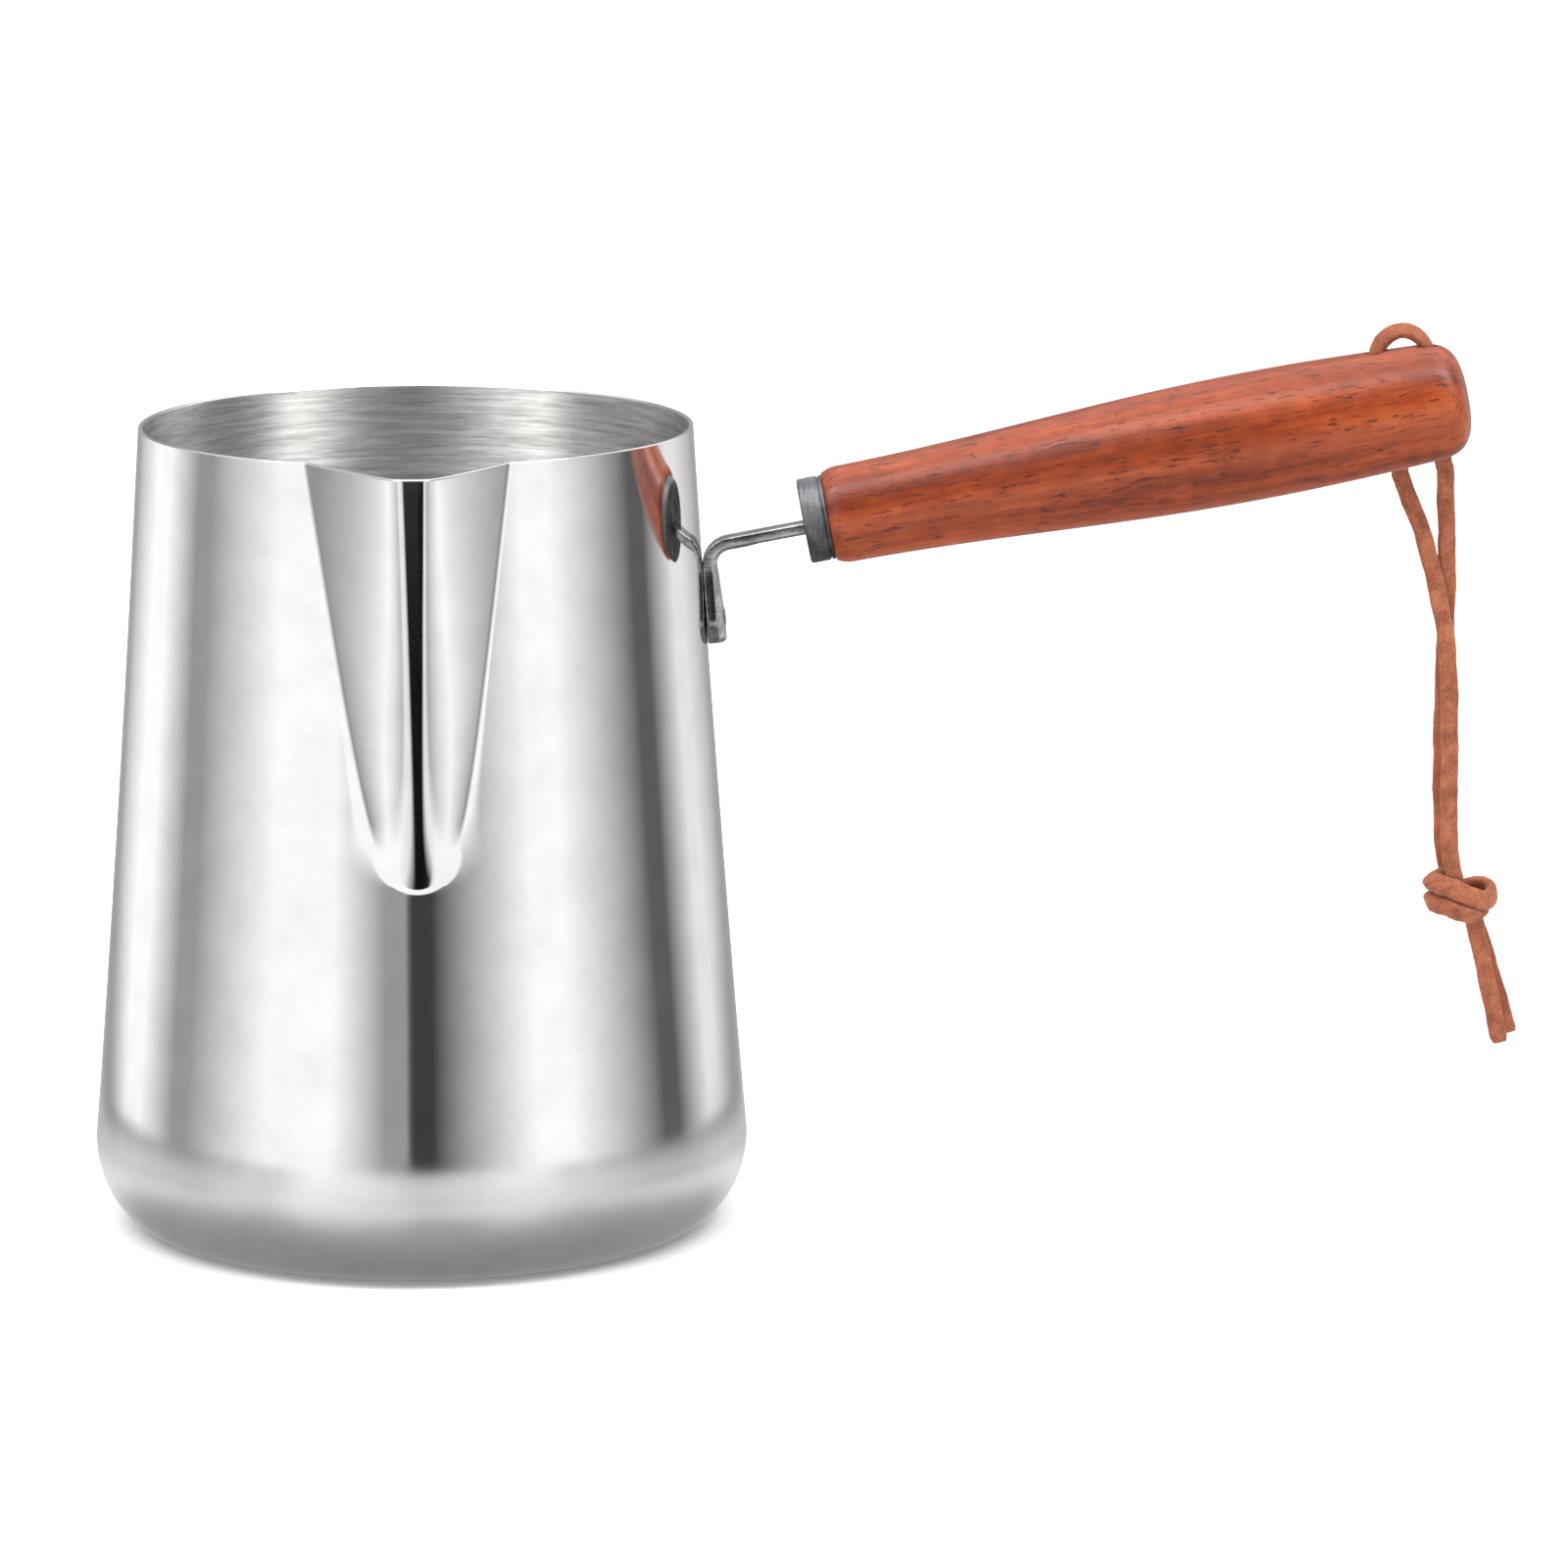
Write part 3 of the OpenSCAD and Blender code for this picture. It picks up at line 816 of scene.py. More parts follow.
@dataclass
class WallShape:
    """The shape that the pot's wall and its spout share. Angles start at the front, -Y."""

    height: float = 123.0
    belly_r: float = 50.0
    rim_r: float = 42.0
    sheet: float = 0.8
    corner_h: float = 13.4
    corner_w: float = 9.6
    bow: float = 0.35
    spout_out: float = 14.1
    spout_half: float = 14.9
    foot_half: float = 7.6
    foot_z: float = 60.0
    crease: float = 2.5
    lip_flat: float = 1.4
    foot_ease: float = 9.0
    weld_fillet: float = 0.5
    foot_fillet: float = 0.14
    nose_aside: float = 1.2
    foot_aside: float = 1.3
    lip_aside: float = -0.15
    fillet_growth: float = 0.06
    fillet_start: float = 1.0
    rim_crown: float = 0.25
    fillet_drop: float = 0.7
    fillet_reach: float = 5.0

    def side_r(self, z: float) -> float:
        """Outer radius of the wall at a height above the rounded corner."""
        u = (z - self.corner_h) / (self.height - self.corner_h)
        return self.belly_r + (self.rim_r - self.belly_r) * u - 4 * self.bow * u * (1 - u)

    def span(self, z: float) -> float:
        """Half width of the spout.

        Args:
            z: height above the base.

        Returns:
            The half width, 0 below the spout's foot.
        """
        if z <= self.foot_z:
            return 0.0
        r, middle, join = self.foot_arc()
        if z < join:
            return math.sqrt(r * r - (middle - z) ** 2)
        return self.foot_half + self.flare() * (z - self.foot_z - self.foot_half)

    def flare(self) -> float:
        """How fast the spout's outline widens upwards."""
        return (self.spout_half - self.foot_half) / (self.height - self.foot_z - self.foot_half)

    def foot_arc(self) -> tuple[float, float, float]:
        """The arc of the spout's round foot.

        Returns:
            Its radius, the height of its middle and the height where the spout's sides leave it.
        """
        slant = math.hypot(1.0, self.flare())
        r = self.foot_half * (1 - self.flare()) / (slant - self.flare())
        middle = self.foot_z + r
        return r, middle, middle - r * self.flare() / slant

    def run(self, x: float, z: float) -> float:
        """Sideways run from the soft crease, whose flat nose widens towards the lip.

        Args:
            x: distance to the right of the pot's middle.
            z: height above the base.

        Returns:
            The run, 0 on the nose.
        """
        share = max(0.0, z - self.foot_z) / (self.height - self.foot_z)
        aside = max(0.0, abs(x - self.nose_aside * share) - self.lip_flat * share)
        return math.hypot(aside, self.crease) - self.crease

    def ease(self, z: float) -> float:
        """Share of the wall's lean that its normals keep: it fades into the rounded corner."""
        u = min(1.0, max(0.0, (z - self.corner_h) / self.foot_ease))
        return u * u * (3 - 2 * u)

    def flank(self, x: float, z: float) -> float:
        """How far in front of the axis the spout's surface lies.

        Args:
            x: distance to the right of the pot's middle.
            z: height above the base.

        Returns:
            The distance from the axis towards the front.
        """
        r, c = self.side_r(z), self.span(z)
        grade = self.spout_out / (self.height - self.foot_z)
        rise = grade * (z - self.foot_z)
        if c < 0.05:
            slope = grade * self.crease / self.foot_half + self.crease / r
        else:
            share = (z - self.foot_z) / (self.height - self.foot_z)
            edge = c if x > self.nose_aside * share else -c
            slope = (r + rise - math.sqrt(r * r - c * c)) / self.run(edge, z)
        return r + rise - slope * self.run(x, z)

    def weld(self, z: float) -> float:
        """Size of the fillet at the weld, which thins out towards the spout's foot."""
        grown = self.fillet_growth * (z - self.foot_z - self.fillet_start)
        return min(self.weld_fillet, max(self.foot_fillet, self.foot_fillet + grown))

    def aside(self, z: float) -> float:
        """Turn about the pot's axis, in radians, that sets the spout's foot beside its lip."""
        low = min(1.0, max(0.0, (self.height - z) / (self.height - self.foot_z)))
        return (self.foot_aside * low + self.lip_aside) / self.belly_r

    def front(self, x: float, z: float) -> float:
        """Distance in front of the axis of the outer skin, with a small fillet at the weld.

        Args:
            x: distance to the right of the pot's middle.
            z: height above the base.

        Returns:
            The distance from the axis towards the front.
        """
        r = self.side_r(z)
        wall = math.sqrt(max(r * r - x * x, 0.0))
        flank = self.flank(x, z)
        weld = self.weld(z)
        near = max(0.0, weld - abs(wall - flank))
        return max(wall, flank) + near * near / (4 * weld)

    def skin(self, x: float, z: float) -> tuple[Point, Point]:
        """Place and outward normal of the outer skin at the front.

        Args:
            x: distance to the right of the pot's middle.
            z: height above the base.

        Returns:
            The point and the unit normal there.
        """
        step = 0.02
        dx = (self.front(x + step, z) - self.front(x - step, z)) / (2 * step)
        dz = (self.front(x, z + step) - self.front(x, z - step)) / (2 * step)
        size = math.sqrt(dx * dx + 1 + dz * dz)
        return (x, -self.front(x, z), z), (-dx / size, -1 / size, -dz / size)

    def round_skin(self, angle: float, z: float) -> tuple[Point, Point]:
        """Place and outward normal of the plain wall at an angle from the front.

        Args:
            angle: turn from the front, in radians.
            z: height above the base.

        Returns:
            The point and the unit normal there.
        """
        r = self.side_r(z)
        slope = (self.side_r(z + 0.1) - self.side_r(z - 0.1)) / 0.2 * self.ease(z)
        size = math.hypot(1.0, slope)
        flat = (math.sin(angle), -math.cos(angle))
        return (r * flat[0], r * flat[1], z), (flat[0] / size, flat[1] / size, -slope / size)

    def rows(self) -> list[float]:
        """Heights of the mesh rows on the wall, close together where the spout starts.

        Returns:
            The heights, from the rounded corner to the rim.
        """
        r, middle, join = self.foot_arc()
        last = math.degrees(math.acos((middle - join) / r))
        low = list(np.linspace(self.corner_h, self.foot_z - 2, 24))
        near = list(np.linspace(self.foot_z - 2, self.foot_z, 6))[1:]
        bend = [middle - r * math.cos(math.radians(a)) for a in np.linspace(0, last, 22)][1:]
        high = list(np.linspace(join, self.height - self.rim_crown, 40))[1:]
        return low + near + bend + high

    def rim_turn(self) -> list[tuple[float, float]]:
        """Rounded cut edge of the sheet: shares across the sheet and upwards."""
        return [(0.5 - 0.5 * math.cos(a), math.sin(a)) for a in np.linspace(0, math.pi, 7)[1:-1]]


def offset(point: Point, normal: Point, depth: float) -> Point:
    """The point moved against its normal."""
    return tuple(p - n * depth for p, n in zip(point, normal))


def add_rim(patch: Patch, shape: WallShape, outer: Sequence[int], inner: Sequence[int]) -> None:
    """Rounds over the cut edge between an outer and an inner top row.

    Args:
        patch: the mesh being gathered.
        shape: the wall's shape.
        outer: top row of the outer skin.
        inner: top row of the inner skin.
    """
    last = outer
    for across, up in shape.rim_turn():
        points, normals = [], []
        for o, i in zip(outer, inner):
            a, b = patch.points[o], patch.points[i]
            n = patch.normals[o]
            points.append(tuple(p + (q - p) * across + (shape.rim_crown * up if k == 2 else 0.0)
                                for k, (p, q) in enumerate(zip(a, b))))
            out = 1 - 2 * across
            normals.append((n[0] * out, n[1] * out, up))
        row = patch.add_row(points, normals)
        if outer[0] == outer[-1]:
            row[-1] = row[0]
        patch.bridge(last, row)
        last = row
    patch.bridge(last, inner)


@dataclass
class PotShell:
    """The drawn pot: flat base, rounded corner and wall, open where the spout is welded."""

    shape: WallShape
    columns: int = 232
    corner_rows: int = 14
    crowding: float = 0.72

    def wall_row(self, z: float) -> tuple[list[Point], list[Point], bool]:
        """One row of the outer wall.

        Args:
            z: height of the row.

        Returns:
            The points, their normals, and whether the row goes all the way round.
        """
        shape = self.shape
        half = shape.span(z)
        start = math.asin(half / shape.side_r(z)) if half > 0 else 0.0
        points, normals = [], []
        for k in range(self.columns + 1):
            t = k / self.columns
            t -= self.crowding * math.sin(2 * math.pi * t) / (2 * math.pi)
            angle = start + (2 * math.pi - 2 * start) * t
            side = math.sin(angle) * shape.side_r(z)
            near = abs(side) < half + shape.fillet_reach and z > shape.foot_z - shape.fillet_drop
            if math.cos(angle) > 0 and near:
                point, normal = shape.skin(side, z)
            else:
                point, normal = shape.round_skin(angle, z)
            points.append(point)
            normals.append(normal)
        return points, normals, half == 0

    def build(self, outside: bpy.types.Material, inside: bpy.types.Material) -> bpy.types.Object:
        """Builds the shell as one closed mesh.

        Args:
            outside: the polished finish.
            inside: the brushed finish.

        Returns:
            The piece, which stands for the CAD pot body.
        """
        shape, patch = self.shape, Patch()
        foot_r = shape.belly_r - shape.corner_w
        outer_rows: list[list[int]] = []
        inner_rows: list[list[int]] = []
        for k in range(self.corner_rows):
            a = math.radians(90 * k / self.corner_rows)
            up = math.atan2(shape.corner_w * math.cos(a), shape.corner_h * math.sin(a) + 1e-6)
            for rows, inset in ((outer_rows, 0.0), (inner_rows, shape.sheet)):
                r = foot_r + (shape.corner_w - inset) * math.sin(a)
                z = shape.corner_h - (shape.corner_h - inset) * math.cos(a)
                rows.append(self.ring(patch, r, z, -math.sin(up), math.cos(up), inset > 0))
        for z in shape.rows():
            points, normals, closed = self.wall_row(z)
            row = patch.add_row(points, normals)
            inner = patch.add_row(
                [offset(p, n, shape.sheet) for p, n in zip(points, normals)],
                [tuple(-c for c in n) for n in normals],
            )
            if closed:
                row[-1], inner[-1] = row[0], inner[0]
            outer_rows.append(row)
            inner_rows.append(inner)
        for low, high in zip(outer_rows[:-1], outer_rows[1:]):
            patch.bridge(low, high, 0)
        for low, high in zip(inner_rows[:-1], inner_rows[1:]):
            patch.bridge(low, high, 1, flip=True)
        for a, b, c, d in zip(outer_rows[:-1], outer_rows[1:], inner_rows[1:], inner_rows[:-1]):
            if b[0] != b[-1]:
                patch.bridge([a[0], b[0]], [d[0], c[0]], 0)
                patch.bridge([a[-1], b[-1]], [d[-1], c[-1]], 0, flip=True)
        add_rim(patch, shape, outer_rows[-1], inner_rows[-1])
        base = patch.add_row([(0, 0, 0), (0, 0, shape.sheet)], [(0, 0, -1), (0, 0, 1)])
        patch.fan(base[0], outer_rows[0], 0)
        patch.fan(base[1], inner_rows[0], 1, flip=True)
        patch.twist(shape.aside)
        piece = patch.to_object("pot_shell", [outside, inside], exact=True)
        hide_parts("pot_body")
        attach(piece, POT_BODY)
        return piece

    def ring(self, patch: Patch, r: float, z: float, fall: float, out: float, inner: bool) -> list[int]:
        """Adds one closed ring of the rounded corner, with the wall's own spacing.

        Args:
            patch: the mesh it goes into.
            r: radius of the ring.
            z: its height.
            fall: upward share of its normals.
            out: outward share of its normals.
            inner: True turns the normals over.

        Returns:
            The vertices' numbers, with the first one again at the end.
        """
        sign = -1.0 if inner else 1.0
        points, normals = [], []
        for k in range(self.columns):
            t = k / self.columns
            t -= self.crowding * math.sin(2 * math.pi * t) / (2 * math.pi)
            angle = 2 * math.pi * t
            points.append((r * math.sin(angle), -r * math.cos(angle), z))
            normals.append((
                sign * out * math.sin(angle), -sign * out * math.cos(angle), sign * fall
            ))
        row = patch.add_row(points, normals)
        return row + [row[0]]


@dataclass
class PouringSpout:
    """The pressed spout: a soft-nosed V that grows out of the wall and ends in a pulled lip."""

    shape: WallShape
    columns: int = 72

    def build(self, outside: bpy.types.Material, inside: bpy.types.Material) -> bpy.types.Object:
        """Builds the spout as one closed shell that meets the notch in the wall.

        Args:
            outside: the polished finish.
            inside: the brushed finish.

        Returns:
            The piece, which stands for the CAD pouring spout.
        """
        shape, patch = self.shape, Patch()
        outer_rows, inner_rows = [], []
        for z in [z for z in shape.rows() if z > shape.foot_z + 0.01]:
            half = shape.span(z)
            skin = [
                shape.skin(half * math.sin(math.pi / 2 * (2 * k / self.columns - 1)), z)
                for k in range(self.columns + 1)
            ]
            outer_rows.append(patch.add_row([p for p, _ in skin], [n for _, n in skin]))
            inner_rows.append(patch.add_row(
                [offset(p, n, shape.sheet) for p, n in skin],
                [tuple(-c for c in n) for _, n in skin],
            ))
        for low, high in zip(outer_rows[:-1], outer_rows[1:]):
            patch.bridge(low, high, 0)
        for low, high in zip(inner_rows[:-1], inner_rows[1:]):
            patch.bridge(low, high, 1, flip=True)
        for a, b, c, d in zip(outer_rows[:-1], outer_rows[1:], inner_rows[1:], inner_rows[:-1]):
            patch.bridge([a[0], b[0]], [d[0], c[0]], 0)
            patch.bridge([a[-1], b[-1]], [d[-1], c[-1]], 0, flip=True)
        (tip, out) = shape.skin(0.0, shape.foot_z)
        foot = patch.add_row([tip, offset(tip, out, shape.sheet)], [out, tuple(-c for c in out)])
        patch.fan(foot[0], outer_rows[0], 0, flip=True)
        patch.fan(foot[1], inner_rows[0], 1)
        add_rim(patch, shape, outer_rows[-1], inner_rows[-1])
        patch.twist(shape.aside)
        piece = patch.to_object("pressed_spout", [outside, inside], exact=True)
        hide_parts("pouring_spout")
        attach(piece, POT_BODY)
        return piece


# ---------------------------------------------------------------------------
# Turned and swept pieces
# ---------------------------------------------------------------------------


@dataclass(frozen=True)
class Axis:
    """A straight axis in the XZ plane along which pieces are turned or drilled."""

    origin: tuple[float, float]
    tilt_deg: float

    def point(self, s: float, r: float, y: float = 0.0) -> Point:
        """A place s along the axis, r across it upwards and y to the back."""
        c, d = math.cos(math.radians(self.tilt_deg)), math.sin(math.radians(self.tilt_deg))
        return (self.origin[0] + s * c - r * d, y, self.origin[1] + s * d + r * c)


def turn_on(axis: Axis, profile: Sequence[tuple[float, float]], sides: int) -> Patch:
    """Turns a profile round an axis.

    Args:
        axis: the axis it turns on.
        profile: places along the axis and radii; it may start and end on the axis.
        sides: number of points round the axis.

    Returns:
        The gathered surface.
    """
    patch = Patch()
    rows = []
    for s, r in profile:
        if r <= 0:
            rows.append(patch.add_row([axis.point(s, 0.0)], [(0, 0, 1)]) * (sides + 1))
            continue
        turns = [2 * math.pi * k / sides for k in range(sides)]
        row = patch.add_row(
            [axis.point(s, r * math.cos(t), r * math.sin(t)) for t in turns], [(0, 0, 1)] * sides
        )
        rows.append(row + [row[0]])
    for low, high in zip(rows[:-1], rows[1:]):
        patch.bridge(low, high, flip=True)
    return patch


def rounded_step(s: float, r: float, size: float, steps: int = 4) -> list[tuple[float, float]]:
    """Points of a rounded corner of a profile, from its face to its rim.

    Args:
        s: place of the sharp corner along the axis.
        r: its radius.
        size: radius of the rounding.
        steps: number of pieces in the arc.

    Returns:
        Places along the axis and radii.
    """
    arc = [math.pi / 2 * k / steps for k in range(steps + 1)]
    return [(s + size * (1 - math.cos(a)), r - size * (1 - math.sin(a))) for a in arc]


def smooth_route(points: Sequence[Point], steps: int) -> list[Point]:
    """One smooth curve through given points.

    Args:
        points: the route's own points.
        steps: pieces between two points.

    Returns:
        The curve's points, the route's own among them.
    """
    p = [np.array(q, float) for q in points]
    p = [2 * p[0] - p[1]] + p + [2 * p[-1] - p[-2]]
    curve = []
    for a, b, c, d in zip(p[:-3], p[1:-2], p[2:-1], p[3:]):
        for k in range(steps):
            t = k / steps
            curve.append(tuple(0.5 * (
                2 * b + (c - a) * t + (2 * a - 5 * b + 4 * c - d) * t**2 + (3 * b - a - 3 * c + d) * t**3
            )))
    return curve + [tuple(p[-2])]


@dataclass(frozen=True)
class Thong:
    """A flat suede thong, cut from hide, with its edges a little uneven."""

    width: float = 2.7
    thickness: float = 1.6
    sides: int = 16
    unevenness: float = 0.05
    cut_bevel: float = 0.82

    def section(self) -> list[tuple[float, float]]:
        """Its rounded section.

        Returns:
            Places across and through it.
        """
        turns = [2 * math.pi * k / self.sides for k in range(self.sides)]
        bow = lambda v: math.copysign(abs(v) ** 0.55, v)
        return [
            (self.width / 2 * bow(math.cos(t)), self.thickness / 2 * bow(math.sin(t))) for t in turns
        ]

    def sweep(
        self, name: str, curve: Sequence[Point], faces: Callable[[int], Point],
        material: bpy.types.Material, shift: float = 0.0, scale: float = 1.0,
    ) -> bpy.types.Object:
        """Lays the thong along a curve.

        Args:
            name: name of the piece.
            curve: the points it follows.
            faces: the way its flat side looks at each point of the curve.
            material: its suede.
            shift: how far it lies to the side of the curve.
            scale: size of its section.

        Returns:
            The piece.
        """
        patch = Patch()
        last = len(curve) - 1
        rows = []
        for i, at in enumerate(curve):
            ahead = Vector(curve[min(i + 1, last)]) - Vector(curve[max(i - 1, 0)])
            ahead.normalize()
            flat = Vector(faces(i))
            flat = (flat - flat.dot(ahead) * ahead).normalized()
            across = flat.cross(ahead)
            size = scale * (self.cut_bevel if i in (0, last) else 1.0)
            wave = 1 + self.unevenness * math.sin(1.7 * i) * math.sin(0.61 * i + 1)
            lean = self.unevenness * math.sin(0.9 * i + 0.4)
            points = [
                tuple(Vector(at) + across * (size * wave * u + shift + lean) + flat * size * v)
                for u, v in self.section()
            ]
            row = patch.add_row(points, [(0, 0, 1)] * self.sides)
            rows.append(row + [row[0]])
        for low, high in zip(rows[:-1], rows[1:]):
            patch.bridge(low, high, flip=True)
        patch.faces.append(tuple(rows[0][:-1]))
        patch.faces.append(tuple(reversed(rows[-1][:-1])))
        patch.finishes += [0, 0]
        piece = patch.to_object(name, [material])
        piece.data.set_sharp_from_angle(angle=math.radians(60))
        return piece


# ---------------------------------------------------------------------------
# Handle
# ---------------------------------------------------------------------------


@dataclass
class Handle:
    """The sizes that the pieces of the handle share, along its tilted axis."""

    axis: Axis = Axis((62.45, 108.55), 10.75)
    bar_drop: float = 0.9
    hole_s: float = 86.2
    hole_pitch: float = 7.7
    hole_d: float = 3.2


@dataclass
class HandleArm:
    """The flat steel strap: a round end on the wall, a neck, a bend and a bar into the grip."""

    shape: WallShape
    handle: Handle
    paddle_z: float = 92.9
    paddle_w: float = 7.8
    width: float = 3.8
    thickness: float = 1.8
    neck_h: float = 8.0
    neck_ease: float = 0.6
    bend_r: float = 3.6
    tang: float = 42.0
    edge: float = 0.4
    crown: float = 1.1
    clearance: float = 0.02

    @property
    def lean(self) -> float:
        """How far the wall leans in, in radians."""
        s = self.shape
        return math.atan((s.belly_r - s.rim_r) / (s.height - s.corner_h))

    def on_wall(self, out: float, y: float, along: float) -> Point:
        """A place in the wall's own directions, from the middle of the strap's round end.

        Args:
            out: distance outwards from the wall.
            y: distance to the back.
            along: distance up the wall.

        Returns:
            The place in the frame.
        """
        x0 = self.shape.side_r(self.paddle_z) + self.clearance
        c, d = math.cos(self.lean), math.sin(self.lean)
        return (x0 + out * c - along * d, y, self.paddle_z + out * d + along * c)

    def path(self) -> tuple[float, float, float]:
        """Works out the strap's straight and bent lengths.

        Returns:
            Length of the neck, angle of the bend and length of the bar before its tang.
        """
        tilt = math.radians(self.handle.axis.tilt_deg)
        angle = math.pi / 2 + self.lean - tilt
        start = self.handle.axis.point(0.0, -self.bar_drop())
        middle = self.on_wall(self.thickness / 2, 0.0, 0.0)
        gap = (start[0] - middle[0], start[2] - middle[2])
        neck = (-math.sin(self.lean), math.cos(self.lean))
        bar = (math.cos(tilt), math.sin(tilt))
        cross = neck[0] * bar[1] - neck[1] * bar[0]
        reach = self.bend_r * math.tan(angle / 2)
        neck_len = (gap[0] * bar[1] - gap[1] * bar[0]) / cross
        bar_len = -(gap[0] * neck[1] - gap[1] * neck[0]) / cross
        return neck_len - reach, angle, bar_len - reach

    def bar_drop(self) -> float:
        """How far the bar runs below the grip's axis."""
        return self.handle.bar_drop

    def half_width(self, s: float) -> float:
        """Half the strap's width.

        Args:
            s: distance above the middle of its round end.

        Returns:
            The half width.
        """
        r = self.paddle_w / 2
        round_end = math.sqrt(max(r * r - s * s, 0.0))
        if s <= 0:
            return round_end
        low, high = r - self.neck_ease / 2, self.width / 2
        ease = 0.5 - 0.5 * math.cos(math.pi * min(s / self.neck_h, 1.0))
        return max(round_end if s < 1 else 0.0, low + (high - low) * ease)

    def stations(self) -> list[tuple[float, tuple[float, float], tuple[float, float]]]:
        """The sections along the strap's middle line.

        Returns:
            Distance, place and outer direction of each.
        """
        neck, angle, bar = self.path()
        r, mid = self.paddle_w / 2, self.thickness / 2
        turn = [math.radians(a) for a in np.linspace(2, 90, 16)]
        places = [-r * math.cos(a) for a in turn] + list(np.linspace(0.4, neck, 18))
        found = [(s, (mid, s), (1.0, 0.0)) for s in places]
        for a in np.linspace(0, angle, 15)[1:]:
            place = (mid + self.bend_r * (1 - math.cos(a)), neck + self.bend_r * math.sin(a))
            found.append((neck + self.bend_r * a, place, (math.cos(a), -math.sin(a))))
        end = found[-1]
        for d in np.linspace(0, bar + self.tang, 24)[1:]:
            place = (end[1][0] + d * math.sin(angle), end[1][1] + d * math.cos(angle))
            found.append((end[0] + d, place, end[2]))
        return found

    def build(self, steel: bpy.types.Material) -> bpy.types.Object:
        """Builds the strap with worn, rounded edges and a slightly crowned round end.

        Args:
            steel: the strip steel.

        Returns:
            The piece, which stands for the CAD handle arm.
        """
        patch, rows = Patch(), []
        for s, (out, along), (face_x, face_z) in self.stations():
            half = self.half_width(s)
            end = min(1.0, (s + self.paddle_w / 2) / self.edge)
            thick = self.thickness / 2 * (0.6 + 0.4 * math.sqrt(1 - (1 - end) ** 2))
            swell = self.crown * max(0.3, 1 - max(0.0, s) / (2 * self.neck_h)) if s < 16 else 0.0
            row = []
            for y, x in self.section(half, thick, swell * min(1.0, half / 2)):
                row.append(self.on_wall(out + x * face_x, y, along + x * face_z))
            ids = patch.add_row(row, [(0, 0, 1)] * len(row))
            rows.append(ids + [ids[0]])
        for low, high in zip(rows[:-1], rows[1:]):
            patch.bridge(low, high)
        patch.faces += [tuple(reversed(rows[0][:-1])), tuple(rows[-1][:-1])]
        patch.finishes += [0, 0]
        piece = patch.to_object("steel_strap", [steel])
        piece.data.set_sharp_from_angle(angle=math.radians(50))
        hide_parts("handle_arm")
        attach(piece, POT_BODY)
        return piece

    def section(self, half: float, thick: float, swell: float) -> list[tuple[float, float]]:
        """Rounded section of the strap.

        Args:
            half: half its width.
            thick: its thickness.
            swell: height of its crown.

        Returns:
            Places across it and outwards from its middle.
        """
        e = min(self.edge, half * 0.7, thick * 0.7)
        points = []
        for sy, sx, first in ((1, -1, 270), (1, 1, 0), (-1, 1, 90), (-1, -1, 180)):
            for k in range(5):
                a = math.radians(first + 90 * k / 4)
                y = sy * (half - e) + e * math.cos(a)
                x = sx * (thick - e) + e * math.sin(a)
                points.append((y, x))
            if (sy, sx) == (1, 1):
                points += [(half * u, thick + swell * (1 - u * u)) for u in (0.6, 0.3, 0.0, -0.3, -0.6)]
        return points


@dataclass
class ArmRivet:
    """The rivet through the strap's round end, domed outside and wide and flat inside."""

    arm: HandleArm
    shank_d: float = 2.4
    head_d: float = 3.4
    head_h: float = 0.3
    inner_d: float = 5.0
    inner_h: float = 0.7
    sides: int = 40

    def build(self, steel: bpy.types.Material) -> bpy.types.Object:
        """Builds both heads and the shank as one turned piece.

        Args:
            steel: the strip steel.

        Returns:
            The piece, which stands for the CAD arm rivet.
        """
        arm = self.arm
        inner = -arm.shape.sheet - 0.1
        outer = arm.thickness + arm.crown * 0.85
        profile = [(inner - self.inner_h, 0.0), (inner - self.inner_h, self.inner_d / 2 - 0.5)]
        profile += [
            (inner - self.inner_h * math.cos(a), self.inner_d / 2 - 0.5 + 0.5 * math.sin(a))
            for a in np.linspace(0.2, math.pi / 2, 5)
        ]
        profile += [(inner, self.shank_d / 2), (outer, self.shank_d / 2), (outer, self.head_d / 2)]
        profile += [
            (outer + self.head_h * math.sin(a), self.head_d / 2 * math.cos(a))
            for a in np.linspace(0.15, math.pi / 2 - 0.1, 8)
        ]
        profile.append((outer + self.head_h, 0.0))
        start = arm.on_wall(0.0, 0.0, 0.0)
        axis = Axis((start[0], start[2]), math.degrees(arm.lean))
        piece = turn_on(axis, profile, self.sides).to_object("strap_rivet", [steel])
        piece.data.set_sharp_from_angle(angle=math.radians(50))
        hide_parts("arm_rivet")
        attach(piece, POT_BODY)
        return piece


@dataclass
class Ferrule:
    """The turned steel cap at the front of the grip, with a shallow dished face."""

    handle: Handle
    diameter: float = 13.0
    length: float = 3.8
    rounding: float = 0.5
    dish_r: float = 5.2
    dish_depth: float = 0.45
    groove: float = 0.25
    sides: int = 96

    def build(self, steel: bpy.types.Material) -> bpy.types.Object:
        """Builds the cap: dished front, rounded rim and a fine groove before the wood.

        Args:
            steel: the turned steel.

        Returns:
            The piece, which stands for the CAD ferrule.
        """
        r, s = self.diameter / 2, -self.length
        profile = [(s + self.dish_depth, 0.0), (s + self.dish_depth, self.dish_r - 0.6)]
        profile += [(s + self.dish_depth * 0.5, self.dish_r - 0.2), (s, self.dish_r + 0.2)]
        profile += rounded_step(s, r, self.rounding)
        profile += [(-0.75, r), (-0.65, r - self.groove), (-0.5, r - self.groove), (-0.4, r)]
        profile += [(-0.1, r), (0.0, r - 0.1), (0.0, 0.0)]
        piece = turn_on(self.handle.axis, profile, self.sides).to_object("steel_ferrule", [steel])
        piece.data.set_sharp_from_angle(angle=math.radians(35))
        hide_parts("ferrule")
        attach(piece, POT_BODY)
        return piece


